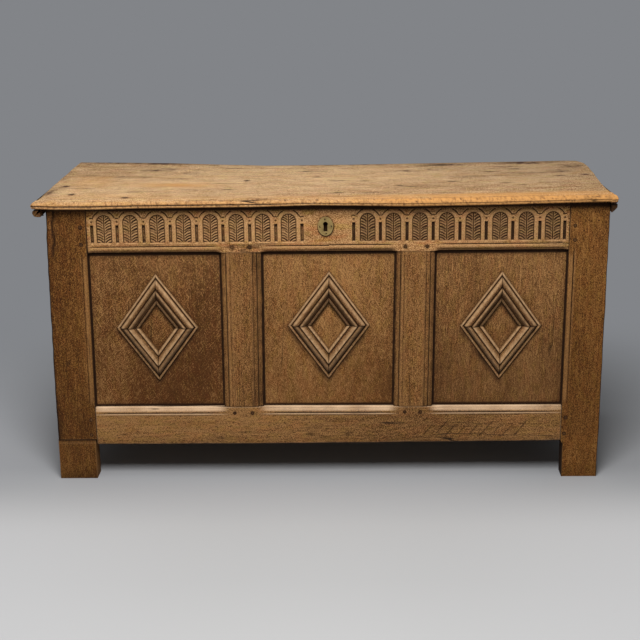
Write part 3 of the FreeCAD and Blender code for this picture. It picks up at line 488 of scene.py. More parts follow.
@dataclass(frozen=True)
class Metal:
    """Worked metal with a dull, uneven surface."""

    dark: Colour
    light: Colour
    stain: Colour
    metallic: float
    roughness: float
    hammer: float = 1.0
    relief: float = 0.0006

    def material(self, name: str) -> bpy.types.Material:
        """Build the material.

        Args:
            name: The material's name.

        Returns:
            The material.
        """
        shader = Shader(bpy.data.materials.new(name))
        place = shader.place()
        coarse = shader.noise(place, (60, 60, 60), 3, 0.6)
        fine = shader.noise(place, (420, 420, 420), 3, 0.6)
        colour = shader.ramp(coarse * 0.6 + fine * 0.4, ((0.35, self.dark), (0.65, self.light)))
        stained = (coarse * 0.5 + fine * 0.5).rise(0.52, 0.68)
        colour = shader.mix(stained * 0.7, colour, self.stain)
        colour = shader.mix(shader.attribute("wear") * 0.6, colour, self.light)
        colour = shader.mix(shader.attribute("grime"), colour, srgb(20, 14, 10))
        rough = self.roughness + stained * 0.2 + (fine - 0.5) * 0.2
        height = (coarse - 0.5) * self.hammer + (fine - 0.5) * 0.4
        shader.finish(colour, rough, height, self.relief, Metallic=self.metallic)
        return shader.owner


FRAME_OAK = Oak(srgb(68, 40, 13), srgb(109, 72, 35), srgb(164, 120, 72), rubbed=srgb(206, 170, 132))
MUNTIN_OAK = replace(FRAME_OAK, middle=srgb(121, 81, 42), rubbed=srgb(158, 116, 72))
BOTTOM_OAK = replace(FRAME_OAK, middle=srgb(136, 97, 57), rubbed=srgb(218, 184, 148), figure=0.12,
                     ring_width=13.0, cracks=0.9, fleck=0.1)
STILE_OAK = Oak(srgb(54, 29, 5), srgb(102, 61, 20), srgb(146, 102, 52), streak=0.55, calm=0.2)
RAIL_OAK = Oak(srgb(94, 58, 24), srgb(142, 97, 52), srgb(198, 152, 102), rubbed=srgb(192, 148, 100),
               fleck=0.1, stretch=1.6, speckle=3.9, tints=1.0)
PANEL_OAK = Oak(srgb(66, 38, 12), srgb(108, 70, 32), srgb(164, 120, 72), speckle=2.6, streak=0.45,
                fleck=0.5, calm=0.45)
LID_OAK = Oak(srgb(106, 72, 42), srgb(188, 151, 110), srgb(216, 184, 142), srgb(66, 42, 32),
              srgb(192, 138, 78), patches=1.0, mottle=0.8, streak=0.4, speckle=3.6, fleck=0.0, dash=0.4,
              gloss=0.2, cracks=1.3)
MOULDING_OAK = Oak(srgb(62, 36, 13), srgb(106, 70, 36), srgb(158, 116, 72), rubbed=srgb(192, 155, 114),
                   fleck=0.1)
INNER_OAK = Oak(srgb(80, 58, 36), srgb(126, 98, 66), srgb(158, 128, 92), figure=0.4, streak=0.9, gloss=0.1)
PEG_OAK = Oak(srgb(44, 26, 12), srgb(92, 60, 32), srgb(136, 96, 56), fleck=0.0, cracks=0.0)
IRON = Metal(srgb(34, 30, 28), srgb(74, 68, 64), srgb(88, 52, 32), 0.65, 0.55)
SPRING = Metal(srgb(66, 62, 58), srgb(120, 116, 110), srgb(84, 62, 44), 0.9, 0.4, 0.3)
BRASS = Metal(srgb(92, 72, 34), srgb(168, 142, 86), srgb(66, 52, 28), 0.3, 0.42, 0.35)


# ---------------- mesh building


def read(items: Sequence, key: str, width: int = 3, kind: type = float) -> Array:
    """Read a property of all of a mesh's items.

    Args:
        items: The mesh's vertices, normals or edges.
        key: The property's name.
        width: How many numbers each item gives.
        kind: The type of the numbers.

    Returns:
        A row for each item.
    """
    flat = np.empty(len(items) * width, kind)
    items.foreach_get(key, flat)
    return flat.reshape(-1, width)


@contextmanager
def opened(mesh: Mesh) -> Iterator[Shape]:
    """Open a mesh for bmesh operators, and write it back at the end.

    Args:
        mesh: The mesh to change.

    Yields:
        The bmesh to work on.
    """
    shape = bmesh.new()
    shape.from_mesh(mesh)
    yield shape
    shape.to_mesh(mesh)
    shape.free()


def soften(shape: Shape, edges: Iterable[bmesh.types.BMEdge], width: float,
           segments: int = 2) -> dict:
    """Bevel edges.

    Args:
        shape: The bmesh that holds them.
        edges: The edges.
        width: How far the bevel reaches from each edge, in millimetres.
        segments: How many strips round the bevel.

    Returns:
        What the operator made.
    """
    return bmesh.ops.bevel(shape, geom=list(edges), offset=width * MM, offset_type="OFFSET",
                           segments=segments, profile=0.5, affect="EDGES", material=-1, clamp_overlap=True)


def weather(mesh: Mesh, gain: float = 1.0) -> None:
    """Paint wear on ridges and grime in hollows of a fine mesh.

    Args:
        mesh: The mesh to paint.
        gain: How strongly the curves show.
    """
    count = len(mesh.vertices)
    places = read(mesh.vertices, "co")
    normals = read(mesh.vertex_normals, "vector")
    edges = read(mesh.edges, "vertices", 2, int)
    hollow = np.zeros(count)
    share = np.zeros(count)
    for start, end in ((0, 1), (1, 0)):
        here, there = edges[:, start], edges[:, end]
        span = places[there] - places[here]
        length = np.linalg.norm(span, axis=1) + 1e-9
        weight = np.minimum(1, CURVE_REACH / length)
        lift = np.einsum("ij,ij->i", span, normals[here]) / length * weight
        hollow += np.bincount(here, lift, count)
        share += np.bincount(here, minlength=count)
    hollow /= np.maximum(share, 1)
    for _ in range(2):
        spread = np.bincount(edges[:, 0], hollow[edges[:, 1]], count)
        spread += np.bincount(edges[:, 1], hollow[edges[:, 0]], count)
        hollow = 0.5 * hollow + 0.5 * spread / np.maximum(share, 1)
    paint(mesh, "grime", np.clip(hollow * GRIME_AND_SHADE_GAIN * gain, 0, 1))
    paint(mesh, "wear", np.clip(-hollow * WEAR_AND_HIGHLIGHT_GAIN * gain - WEAR_AND_HIGHLIGHT_START, 0, 1))


def paint(mesh: Mesh, name: str, values: Array) -> None:
    """Write one number per vertex into an attribute, on top of what it holds.

    Args:
        mesh: The mesh to paint.
        name: The attribute, grime or wear.
        values: The numbers, which are kept between 0 and 1.
    """
    layer = mesh.attributes.get(name) or mesh.attributes.new(name, "FLOAT", "POINT")
    held = np.empty(len(mesh.vertices), np.float32)
    layer.data.foreach_get("value", held)
    layer.data.foreach_set("value", np.clip(held + values, 0, 1).astype(np.float32))


def publish(name: str, mesh: Mesh, body: str, material: bpy.types.Material,
            nodes: Sequence[str] = (), sharp: float = 38.0) -> None:
    """Put a finished piece in the scene.

    Args:
        name: The piece's name.
        mesh: Its mesh, in place.
        body: The body that carries it.
        material: Its material.
        nodes: The nodes that it stands for.
        sharp: The angle between faces past which an edge stays crisp, in degrees.
    """
    piece = bpy.data.objects.new(name, mesh)
    bpy.context.scene.collection.objects.link(piece)
    mesh.shade_smooth()
    mesh.set_sharp_from_angle(angle=math.radians(sharp))
    mesh.materials.clear()
    mesh.materials.append(material)
    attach(piece, body)
    if nodes:
        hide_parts(*nodes)
    LOG.info("%s: %d faces on %s", name, len(mesh.polygons), body)


def make_mesh(name: str, shape: Shape) -> Mesh:
    """Turn a bmesh into a mesh and free it.

    Args:
        name: The mesh's name.
        shape: The bmesh.

    Returns:
        The mesh.
    """
    mesh = bpy.data.meshes.new(name)
    shape.to_mesh(mesh)
    shape.free()
    return mesh


def slab(name: str, columns: int, rows: int, place: Callable[[Array, Array, Array], Array]) -> Mesh:
    """Make a closed slab whose show face is a grid.

    Args:
        name: The mesh's name.
        columns: The number of grid lines across.
        rows: The number of grid lines up.
        place: Gives the points for column numbers, row numbers and 0 on the face or 1 on the back.

    Returns:
        The mesh, in metres.
    """
    shape = bmesh.new()
    bmesh.ops.create_grid(shape, x_segments=columns - 1, y_segments=rows - 1, size=0.5)
    rim = [edge for edge in shape.edges if edge.is_boundary]
    walls = bmesh.ops.extrude_edge_only(shape, edges=rim)["geom"]
    far = [item for item in walls if isinstance(item, bmesh.types.BMVert)]
    bmesh.ops.translate(shape, verts=far, vec=(0, 0, -1))
    bmesh.ops.holes_fill(shape, edges=[edge for edge in shape.edges if edge.is_boundary])
    bmesh.ops.recalc_face_normals(shape, faces=shape.faces)
    mesh = make_mesh(name, shape)
    unit = read(mesh.vertices, "co")
    across = np.rint((unit[:, 0] + 0.5) * (columns - 1)).astype(int)
    upward = np.rint((unit[:, 1] + 0.5) * (rows - 1)).astype(int)
    points = place(across, upward, (unit[:, 2] < -0.5).astype(float)) * MM
    mesh.vertices.foreach_set("co", points.ravel())
    mesh.update()
    with opened(mesh) as shape:
        bmesh.ops.recalc_face_normals(shape, faces=shape.faces)
    return mesh


@dataclass(frozen=True)
class Mark:
    """A mark of use on a face: its place across and along, its half sizes and its strength."""

    across: float
    along: float
    wide: float
    tall: float
    strength: float


def blots(across: Array, along: Array, marks: Sequence[Mark]) -> Array:
    """Add up soft oval marks.

    Args:
        across: Where each point is across the face.
        along: Where it is along the face.
        marks: The marks.

    Returns:
        Their strength at each point.
    """
    total = np.zeros_like(across)
    for mark in marks:
        share = ((across - mark.across) / mark.wide) ** 2 + ((along - mark.along) / mark.tall) ** 2
        total += mark.strength * np.exp(-share)
    return total


@dataclass(frozen=True)
class Settling:
    """How far the old front's uprights have moved sideways and its bottom rail has sunk, in millimetres."""

    places: tuple[float, ...] = (-640.0, -543.0, -241.0, -151.0, 151.0, 241.0, 543.0, 640.0)
    high: tuple[float, ...] = (1.4, 1.0, 2.0, 7.5, 9.5, 10.5, 7.3, 4.0)
    low: tuple[float, ...] = (-2.8, -2.0, 0.0, 3.5, 3.5, 6.0, 4.0, 1.5)
    rail_top: tuple[float, ...] = (-3.0, -3.0, -3.0, -2.4, -3.6, -3.6, -3.6, -3.6)
    rail_foot: tuple[float, ...] = (-2.4, -2.2, -2.4, -2.0, -1.0, 0.4, 2.2, 2.2)

    def x(self, x: Array, z: Array) -> Array:
        """Move points sideways by their place and height.

        Args:
            x: The points' X.
            z: The points' Z.

        Returns:
            Their new X.
        """
        share = np.clip((z - OPENING_BOTTOM) / (OPENING_TOP - OPENING_BOTTOM), 0, 1.3)
        low, high = np.interp(x, self.places, self.low), np.interp(x, self.places, self.high)
        return x + low * (1 - share) + high * share

    def upright(self, x: Array, z: Array) -> Pair:
        """Move the points of an upright timber, whose foot follows the bottom rail's upper edge."""
        drop = np.interp(x, self.places, self.rail_top) * smooth(z, OPENING_BOTTOM + 30, OPENING_BOTTOM)
        return self.x(x, z), z + drop

    def rail(self, x: Array, z: Array) -> Pair:
        """Move the points of the bottom rail.

        Args:
            x: The points' X.
            z: The points' Z.

        Returns:
            Their new X and Z.
        """
        share = (z - RAIL_FOOT) / (OPENING_BOTTOM - RAIL_FOOT)
        drop = np.interp(x, self.places, self.rail_top) * share
        return self.x(x, z), z + drop + np.interp(x, self.places, self.rail_foot) * (1 - share)

    def openings(self, z: float) -> list[Span]:
        """Give the sides of the three openings at a height."""
        return [tuple(float(self.x(np.array(side), np.array(z))) for side in pair) for pair in OPENINGS]


SETTLING = Settling()


@dataclass
class Timber:
    """A front timber whose face is cut in and out of a flat plane, in millimetres."""

    name: str
    xs: Array
    zs: Array
    cut: Callable[[Array, Array], Array]
    front: float = BODY_FRONT
    back: float = RAIL_BACK
    arris: float = 1.3
    waver: float = 0.25
    seed: float = 0.0
    bend: Callable[[Array, Array], Pair] | None = None
    # dirt gives the face's dirt with painted shade and its worn spots with painted highlights; the back's
    # values are painted shade on the back and sides.
    dirt: Callable[[Array, Array], Pair] | None = None
    back_dirt: Callable[[Array], Array] | None = None
    plain_back_dirt: float = 0.35
    side_loop: float = 6.5
    flat: tuple[Array, Array, Array] = field(init=False, default=())

    def mesh(self) -> Mesh:
        """Build the timber as a closed mesh with wear and grime painted on.

        Returns:
            The mesh, in metres.
        """
        made = slab(self.name, len(self.xs), len(self.zs), self.place)
        weather(made)
        if self.dirt:
            far = self.flat[2]
            grime, wear = self.dirt(self.flat[0], self.flat[1])
            back_shade_level = self.back_dirt(self.flat[0]) if self.back_dirt else self.plain_back_dirt
            paint(made, "grime", grime * (1 - far) + back_shade_level * far)
            paint(made, "wear", wear * (1 - far))
        if self.back_dirt:
            self.clean_sides(made)
        return made

    def clean_sides(self, mesh: Mesh) -> None:
        """Add a loop just behind the face, so that grime on its edges doesn't spread over the sides.

        Args:
            mesh: The timber's mesh, with its grime painted on.
        """
        behind = (0, (self.front + self.side_loop) * MM, 0)
        with opened(mesh) as shape:
            grime = shape.verts.layers.float["grime"]
            made = bmesh.ops.bisect_plane(shape, geom=[*shape.verts, *shape.edges, *shape.faces], dist=1e-6,
                                          plane_co=behind, plane_no=(0, 1, 0))
            for item in made["geom_cut"]:
                if isinstance(item, bmesh.types.BMVert):
                    item[grime] = float(self.back_dirt(np.array([item.co.x / MM]))[0])

    def place(self, across: Array, upward: Array, far: Array) -> Array:
        """Give the points of the face and the back.

        Args:
            across: The column of each point.
            upward: The row of each point.
            far: 0 for a point of the face, 1 for a point of the back.

        Returns:
            The points, in millimetres.
        """
        x, z = self.xs[across], self.zs[upward]
        self.flat = (x, z, far)
        inset = np.minimum.reduce([x - self.xs[0], self.xs[-1] - x, z - self.zs[0], self.zs[-1] - z])
        soft = self.arris * (1 + 0.6 * waves(x, z, 45, self.seed + 7))
        depth = np.maximum(self.cut(x, z), rounding(inset, soft))
        depth = depth + self.waver * (waves(x, z, 90, self.seed) + 0.5 * waves(x, z, 28, self.seed + 3))
        y = np.where(far > 0, self.back, self.front + np.maximum(depth, -0.2))
        if self.bend:
            x, z = self.bend(x, z)
        return np.stack([x, y, z], 1)


def worn_copy(node: str, arris: float = 1.0, least: float = 15.0) -> Mesh:
    """Copy a node's mesh and soften its long outer edges.

    Args:
        node: The node's name.
        arris: The width of the softened edge, in millimetres.
        least: The shortest edge that is softened, in millimetres.

    Returns:
        The mesh, with wear painted on the softened edges.
    """
    shape = bmesh.new()
    shape.from_mesh(bpy.data.objects[node].data)
    bmesh.ops.remove_doubles(shape, verts=shape.verts, dist=1e-5)
    bmesh.ops.dissolve_limit(shape, angle_limit=math.radians(1), verts=shape.verts, edges=shape.edges)
    edges = [
        edge for edge in shape.edges
        if edge.is_manifold and edge.calc_length() > least * MM
        and edge.calc_face_angle_signed() > math.radians(40)
    ]
    strip = set(soften(shape, edges, arris)["faces"])
    ridge = [all(face in strip for face in vert.link_faces) for vert in shape.verts]
    mesh = make_mesh(node + "_worn", shape)
    paint(mesh, "wear", np.array(ridge, float) * 0.8)
    return mesh


# ---------------- front of the carcass


def lid_shadow_kept(z: Array) -> Array:
    """Give the share of the painted shadow under the lid that is kept near the carcass's top edge, which
    stays clean.
    """
    return 1 - 0.85 * smooth(z, BODY_TOP - 3, BODY_TOP - 0.4)


@dataclass
class Arcade:
    """The carved top rail: a row of arches filled with leaves, slots between them and a moulding below.

    Places are in millimetres. While the rail is cut, it gathers its dirt with painted shade, and its worn
    ridges with painted highlights.
    """

    arches: tuple[float, ...] = (-500.5, -440.5, -379.6, -319.7, -258.8, -199.9, -140.4, -81.5,
                                 96.9, 154.8, 214.8, 275.1, 334.5, 394.6, 453.8, 512.9)
    slots: tuple[float, ...] = (-528.2, -470.7, -410.3, -349.7, -290.1, -230.5, -169.6, -110.6, -51.4,
                                65.4, 125.5, 185.6, 244.5, 304.7, 363.7, 423.1, 483.8, 539.5)
    half: float = 16.9
    spring: float = 621.3
    foot: float = 573.6
    ends: Span = (-541.4, 551.4)
    tenon: Span = (562.0, 648.0)
    keyhole: Span = (2.2, 614.6)
    plate: tuple[float, float, float, float] = (2.0, 609.4, 17.2, 21.6)
    round_over: float = 11.5
    parting: float = 10.0
    tier: float = 22.0
    rise: float = 14.3
    leaf: list[dict[str, float]] = field(default_factory=list)
    soil: Array = field(init=False, default=None)
    shine: Array = field(init=False, default=None)

    def __post_init__(self) -> None:
        """Draw each leaf's own hand: where its tiers start, its veins' spacing and each side's depth."""
        hand = np.random.default_rng(11)
        for centre in self.arches:
            first = centre < self.parting
            self.leaf.append({
                "level": hand.normal(604.5, 0.7),
                "veins": hand.uniform(5.9, 6.8),
                "left": hand.uniform(0.6, 0.85) if first else hand.uniform(0.6, 0.8),
                "right": hand.uniform(0.9, 1.15) if first else hand.uniform(0.65, 0.9),
                "soil": 0.17 if first else 0.29,
            })

    def hand(self, x: Array | float, first: float, second: float) -> Array:
        """Give one value for the eight arches left of the lock and another for the eight right of it."""
        return np.where(np.asarray(x) < self.parting, first, second)

    def columns(self) -> Array:
        """Place grid lines across the rail so that every cut has its own.

        Returns:
            Their X, from left to right.
        """
        offsets = np.concatenate([[0, 0.8, 1.6], np.arange(3.0, 15, 1.6), [15.3, 16.1, 16.9, 17.8],
                                  np.arange(19.2, 26, 1.5)])
        flutes = np.array([0, 2.4, 3.0, 3.7, 5.0])
        left, right = self.ends
        ends = np.array([0, 0.3, 0.7, 1.3, 2.0, 2.8, 4.0])
        made = [left + ends, right - ends]
        for centre in self.arches:
            made += [centre + offsets, centre - offsets]
        for centre in self.slots:
            made += [centre + flutes, centre - flutes]
        hole = np.array([0, 1.5, 3, 4.2, 4.8, 5.5, 6.5])
        made += [self.keyhole[0] + hole, self.keyhole[0] - hole]
        made.append(np.arange(-30, 34, 2.0))
        lines = np.unique(np.round(np.concatenate(made), 2))
        lines = lines[(lines >= left) & (lines <= right)]
        keep = np.concatenate([[True], np.diff(lines) > 0.5])
        keep[-1] = True
        return lines[keep]

    def rows(self) -> Array:
        """Place grid lines from the moulding up to the top edge.

        Returns:
            Their Z, from the lowest.
        """
        moulding = OPENING_TOP + self.round_over * (1 - np.cos(np.linspace(0, math.pi / 2, 8)))
        above = steps((562, 568, 0.7), (568, 571, 1.5), (571, 641, 1.0), (641, 652, 1.4),
                      (652, BODY_TOP, 2.0))
        return np.unique(np.concatenate([moulding, above, [BODY_TOP - 0.7, BODY_TOP - 0.3]]))

    def cut(self, x: Array, z: Array) -> Array:
        """Cut the whole rail.

        Args:
            x: The points' X.
            z: The points' Z.

        Returns:
            How deep the rail is cut at each point.
        """
        self.soil, self.shine = np.zeros_like(x), np.zeros_like(x)
        depth = self.moulding(x, z)
        depth = np.maximum(depth, self.leaves(x, z))
        depth = np.maximum(depth, self.spandrels(x, z))
        return np.maximum(depth, self.lock_hole(x, z))

    def dirt(self, x: Array, z: Array) -> Pair:
        """Darken the cuts with dirt and painted shade, paint the lid's shadow on the strip under it, and mark
        the worn ridges and painted highlights.

        Args:
            x: The points' X.
            z: The points' Z.

        Returns:
            The grime and the wear at each point.
        """
        ends = np.minimum(x - self.ends[0], self.ends[1] - x)
        # Painted shadow of the lid's overhang on the strip under it, shorter on the right, where the lid's
        # lower edge is higher.
        rise = 3.5 * smooth(x, 150, 350)
        shade = 0.97 * smooth(z, 643 + rise, 651.5 + rise) + 0.12 * smooth(z, 630, 645)
        shade = shade * lid_shadow_kept(z)
        shade += 0.15 * smooth(x, 60, 75) * smooth(z, 568, 574) * smooth(x, 556, 545)
        for peg_x, peg_z, _ in Pegs.places:
            shade += 0.6 * bump(np.hypot(x - peg_x, z - peg_z), 5.6, 1.0)
        # The rubbing and painted highlights fade out under the lid, where its shadow falls.
        return self.soil + shade + 0.95 * smooth(ends, 2.6, 1.6), self.shine * smooth(z, 654, 640)

    def moulding(self, x: Array, z: Array) -> Array:
        """Cut the lower edge's quarter round and the thin groove over it, which die out at the muntins.

        Args:
            x: The points' X.
            z: The points' Z.

        Returns:
            How deep they are cut.
        """
        depth = np.zeros_like(x)
        groove = self.hand(x, 564.6, 566.0)
        for left, right in SETTLING.openings(OPENING_TOP):
            inside = smooth(x, left - 8, left + 14) * smooth(x, right + 8, right - 14)
            line = smooth(x, left, left + 26) * smooth(x, right, right - 26)
            depth += rounding(z - OPENING_TOP, self.round_over) * inside
            depth += 1.7 * bump(z, groove, 1.1) * line
            self.soil += self.hand(x, 0.66, 0.8) * bump(z, groove, 1.2) * line
            self.soil += 0.12 * bump(z, groove + 3.4, 1.0) * line
            # Painted shade on the quarter round's downward-facing lower part and at its lower edge, with a
            # darker band on the right.
            self.soil += (0.55 * bump(z, 554.2, 1.6) + 0.75 * smooth(z, 551.6, 550.6)) * inside
            self.soil += self.hand(x, 0.0, 0.5) * bump(z, 556.5, 2.2) * inside
            self.shine += self.hand(x, 0.0, 0.6) * bump(z, 551.9, 0.7) * inside
            # Painted highlights on the quarter round's top and on the band over the groove.
            self.shine += (0.6 * bump(z, groove - 3.2, 1.7) + 0.3 * bump(z, groove + 6.6, 2.4)) * inside
        return depth

    def leaves(self, x: Array, z: Array) -> Array:
        """Cut the arched hollows, and in each a midrib with three tiers of veined, upward curving lobes.

        Args:
            x: The points' X.
            z: The points' Z.

        Returns:
            How deep they are cut.
        """
        depth = np.zeros_like(x)
        for centre, hand in zip(self.arches, self.leaf):
            near = np.abs(x - centre) < 27
            side, height = x[near] - centre, z[near]
            across = np.abs(side)
            reach = np.where(height > self.spring, np.hypot(side, height - self.spring), across)
            rim = np.minimum(self.half - reach, height - self.foot)
            inside = smooth(rim, -0.4, 0.6)
            outline = bump(self.half - reach, 0.6, 1.2) * smooth(height, self.foot - 1, self.foot + 3)
            midrib = bump(side, 0, 1.25) * smooth(height, self.foot - 1, self.foot + 4) * inside
            stem = bump(across, 2.9, 1.0) * inside
            curl = self.rise * (1 - (1 - np.minimum(across / self.half, 1)) ** 2)
            level = height - curl + self.rise
            part = (level - hand["level"]) / self.tier
            part = part - np.floor(part)
            fan = height - 0.65 * curl - hand["level"]
            vein = 0.5 + 0.5 * np.cos(math.tau * fan / hand["veins"])
            edge = np.maximum(bump(part, 0.02, 0.075), bump(part, 1.0, 0.03))
            fine = vein**1.2 * (0.45 + 0.5 * (1 - part))
            amount = np.where(side > 0, hand["right"], hand["left"])
            lobes = smooth(across, 1.3, 2.8) * smooth(rim, 0.3, 2.0)
            slope = 1.0 * (1 - part) ** 1.5
            carved = 1.5 + (slope + 0.7 * edge + 1.9 * fine) * amount * lobes - 0.4 * stem
            made = inside * np.maximum.reduce([carved, 3.2 * outline, 3.6 * midrib])
            depth[near] = np.maximum(depth[near], np.maximum(made, 2.4 * outline))
            tone = hand["soil"] - 0.06 + (0.55 * edge + 1.05 * fine) * amount * lobes
            soil = np.maximum.reduce([0.7 * outline, 0.95 * midrib, inside * tone])
            self.soil[near] = np.maximum(self.soil[near], soil)
            # The lobes' crests get rubbing with painted highlights; the rounded band round each arch and the
            # sill under each leaf get painted highlights.
            crest = ((1 - vein) ** 1.5 * 0.5 + 0.2 * smooth(part, 0.5, 0.9)) * lobes * inside * amount
            band = bump(reach, 21.4, 3.6) * smooth(height, self.foot - 1, self.foot + 6) * (1 - inside)
            sill = 0.6 * bump(height, self.foot - 1.2, 1.5) * smooth(across, 15, 11)
            self.shine[near] = np.maximum.reduce([self.shine[near], crest, 0.1 * stem, 0.5 * band, sill])
        return depth

    def spandrels(self, x: Array, z: Array) -> Array:
        """Cut the lines beside each arch, the short line where they meet, the bosses and the slots.

        Args:
            x: The points' X.
            z: The points' Z.

        Returns:
            How deep they are cut.
        """
        depth = np.zeros_like(x)
        for centre in self.arches:
            side = x - centre
            across = np.abs(side)
            ring = np.hypot(side, z - self.spring) - self.hand(centre, 26.8, 27.9)
            foot = self.hand(centre, 631.0, 633.0)
            where = smooth(across, 9, 14) * smooth(z, foot, foot + 1.5)
            line = bump(ring, 0, 1.1) * where
            # The right-hand line is cut deeper and painted darker, as painted shade from light falling from
            # the left.
            weight = np.where(side > 0, 0.9, 0.5)
            depth = np.maximum(depth, 3.0 * line * weight)
            self.soil = np.maximum(self.soil, 1.0 * line * weight)
            # A painted highlight on the ridge beside each line.
            self.shine = np.maximum(self.shine, 0.35 * bump(ring, 3.0, 1.5) * where)
        for centre in self.slots:
            side = np.abs(x - centre)
            meet = bump(z, self.hand(centre, 631.4, 633.6), 1.2) * smooth(side, 5, 3.6)
            dot_height = float(self.hand(centre, 622.9, 625.0))
            top = float(self.hand(centre, 614.6, 617.2))
            boss = np.hypot(x - centre, z - dot_height)
            dot = bump(boss, 0, 1.8)
            edge = smooth(side, 3.9, 2.9) * smooth(z, top + 0.8, top - 0.8)
            floor = 4.6 * smooth(z, 570.5, 577.0)
            depth = np.maximum.reduce([depth, 2.2 * meet, 2.8 * dot, edge * floor])
            # Painted shade in each slot, darker right of the lock and darkest under each slot's top.
            dark = self.hand(centre, 0.45, 0.66) + 0.5 * smooth(z, top - 9, top - 1)
            dark = edge * dark * smooth(z, 572.5, 576.5)
            self.soil = np.maximum.reduce([self.soil, 0.85 * meet, 0.95 * dot, dark])
            # Painted highlights on the upward-facing end of each slot and round each boss.
            notch = 0.9 * bump(z, 573.8, 1.9) * smooth(side, 4.0, 2.4)
            rim = 0.5 * bump(boss, 4.4, 1.3)
            self.shine = np.maximum.reduce([self.shine, notch, rim])
        return depth

    def lock_hole(self, x: Array, z: Array) -> Array:
        """Cut the keyhole behind the escutcheon and paint it dark as its shade, and paint shadow round the
        plate.

        Args:
            x: The points' X.
            z: The points' Z.

        Returns:
            How deep the hole is cut.
        """
        middle, eye = self.keyhole
        slot = smooth(np.abs(x - middle), 6.2, 5.4) * smooth(z, 593, 595) * smooth(z, eye + 1, eye)
        hole = np.maximum(smooth(np.hypot(x - middle, z - eye), 7.8, 6.6), slot)
        plate_x, plate_z, wide, tall = self.plate
        ring = (np.hypot((x - plate_x) / wide, (z - plate_z) / tall) - 1) * wide
        # Painted shadow round the plate's edge, strongest along its lower side, and fainter below it.
        low = 0.55 + 0.45 * smooth(z - plate_z + (x - plate_x) * -0.4, 12, -12)
        rim = bump(ring, 0.9, 1.6) * low + 0.25 * smooth(ring, 9, 2) * smooth(z, plate_z, plate_z - 20)
        # The keyhole is painted dark as its shade.
        self.soil = np.maximum.reduce([self.soil, 1.4 * hole, rim])
        self.shine = self.shine * (1 - hole)
        return 14 * hole

    def build(self) -> None:
        """Make the rail with its tenons."""
        timber = Timber("carved_top_rail", self.columns(), self.rows(), self.cut, arris=0.9, waver=0.3,
                        seed=2, dirt=self.dirt)
        mesh = timber.mesh()
        low, high = self.tenon
        add_tenons(mesh, [((end, TENON_FRONT, low), (math.copysign(TENON_END, end), TENON_BACK, high))
                          for end in self.ends])
        material = RAIL_OAK.material("oak_top_rail", Grain.LEVEL, 3)
        publish("carved_top_rail", mesh, "carcass", material, ["front_top_rail"], 55)


def add_tenons(mesh: Mesh, boxes: Sequence[tuple[tuple, tuple]]) -> None:
    """Add plain tenons to a timber's mesh.

    Args:
        mesh: The timber's mesh.
        boxes: One corner and the opposite one of each tenon, in millimetres.
    """
    with opened(mesh) as shape:
        for first, second in boxes:
            middle = [(a + b) / 2 * MM for a, b in zip(first, second)]
            size = [abs(a - b) * MM for a, b in zip(first, second)]
            matrix = Matrix.Translation(middle) @ Matrix.Diagonal((*size, 1))
            bmesh.ops.create_cube(shape, size=1, matrix=matrix)


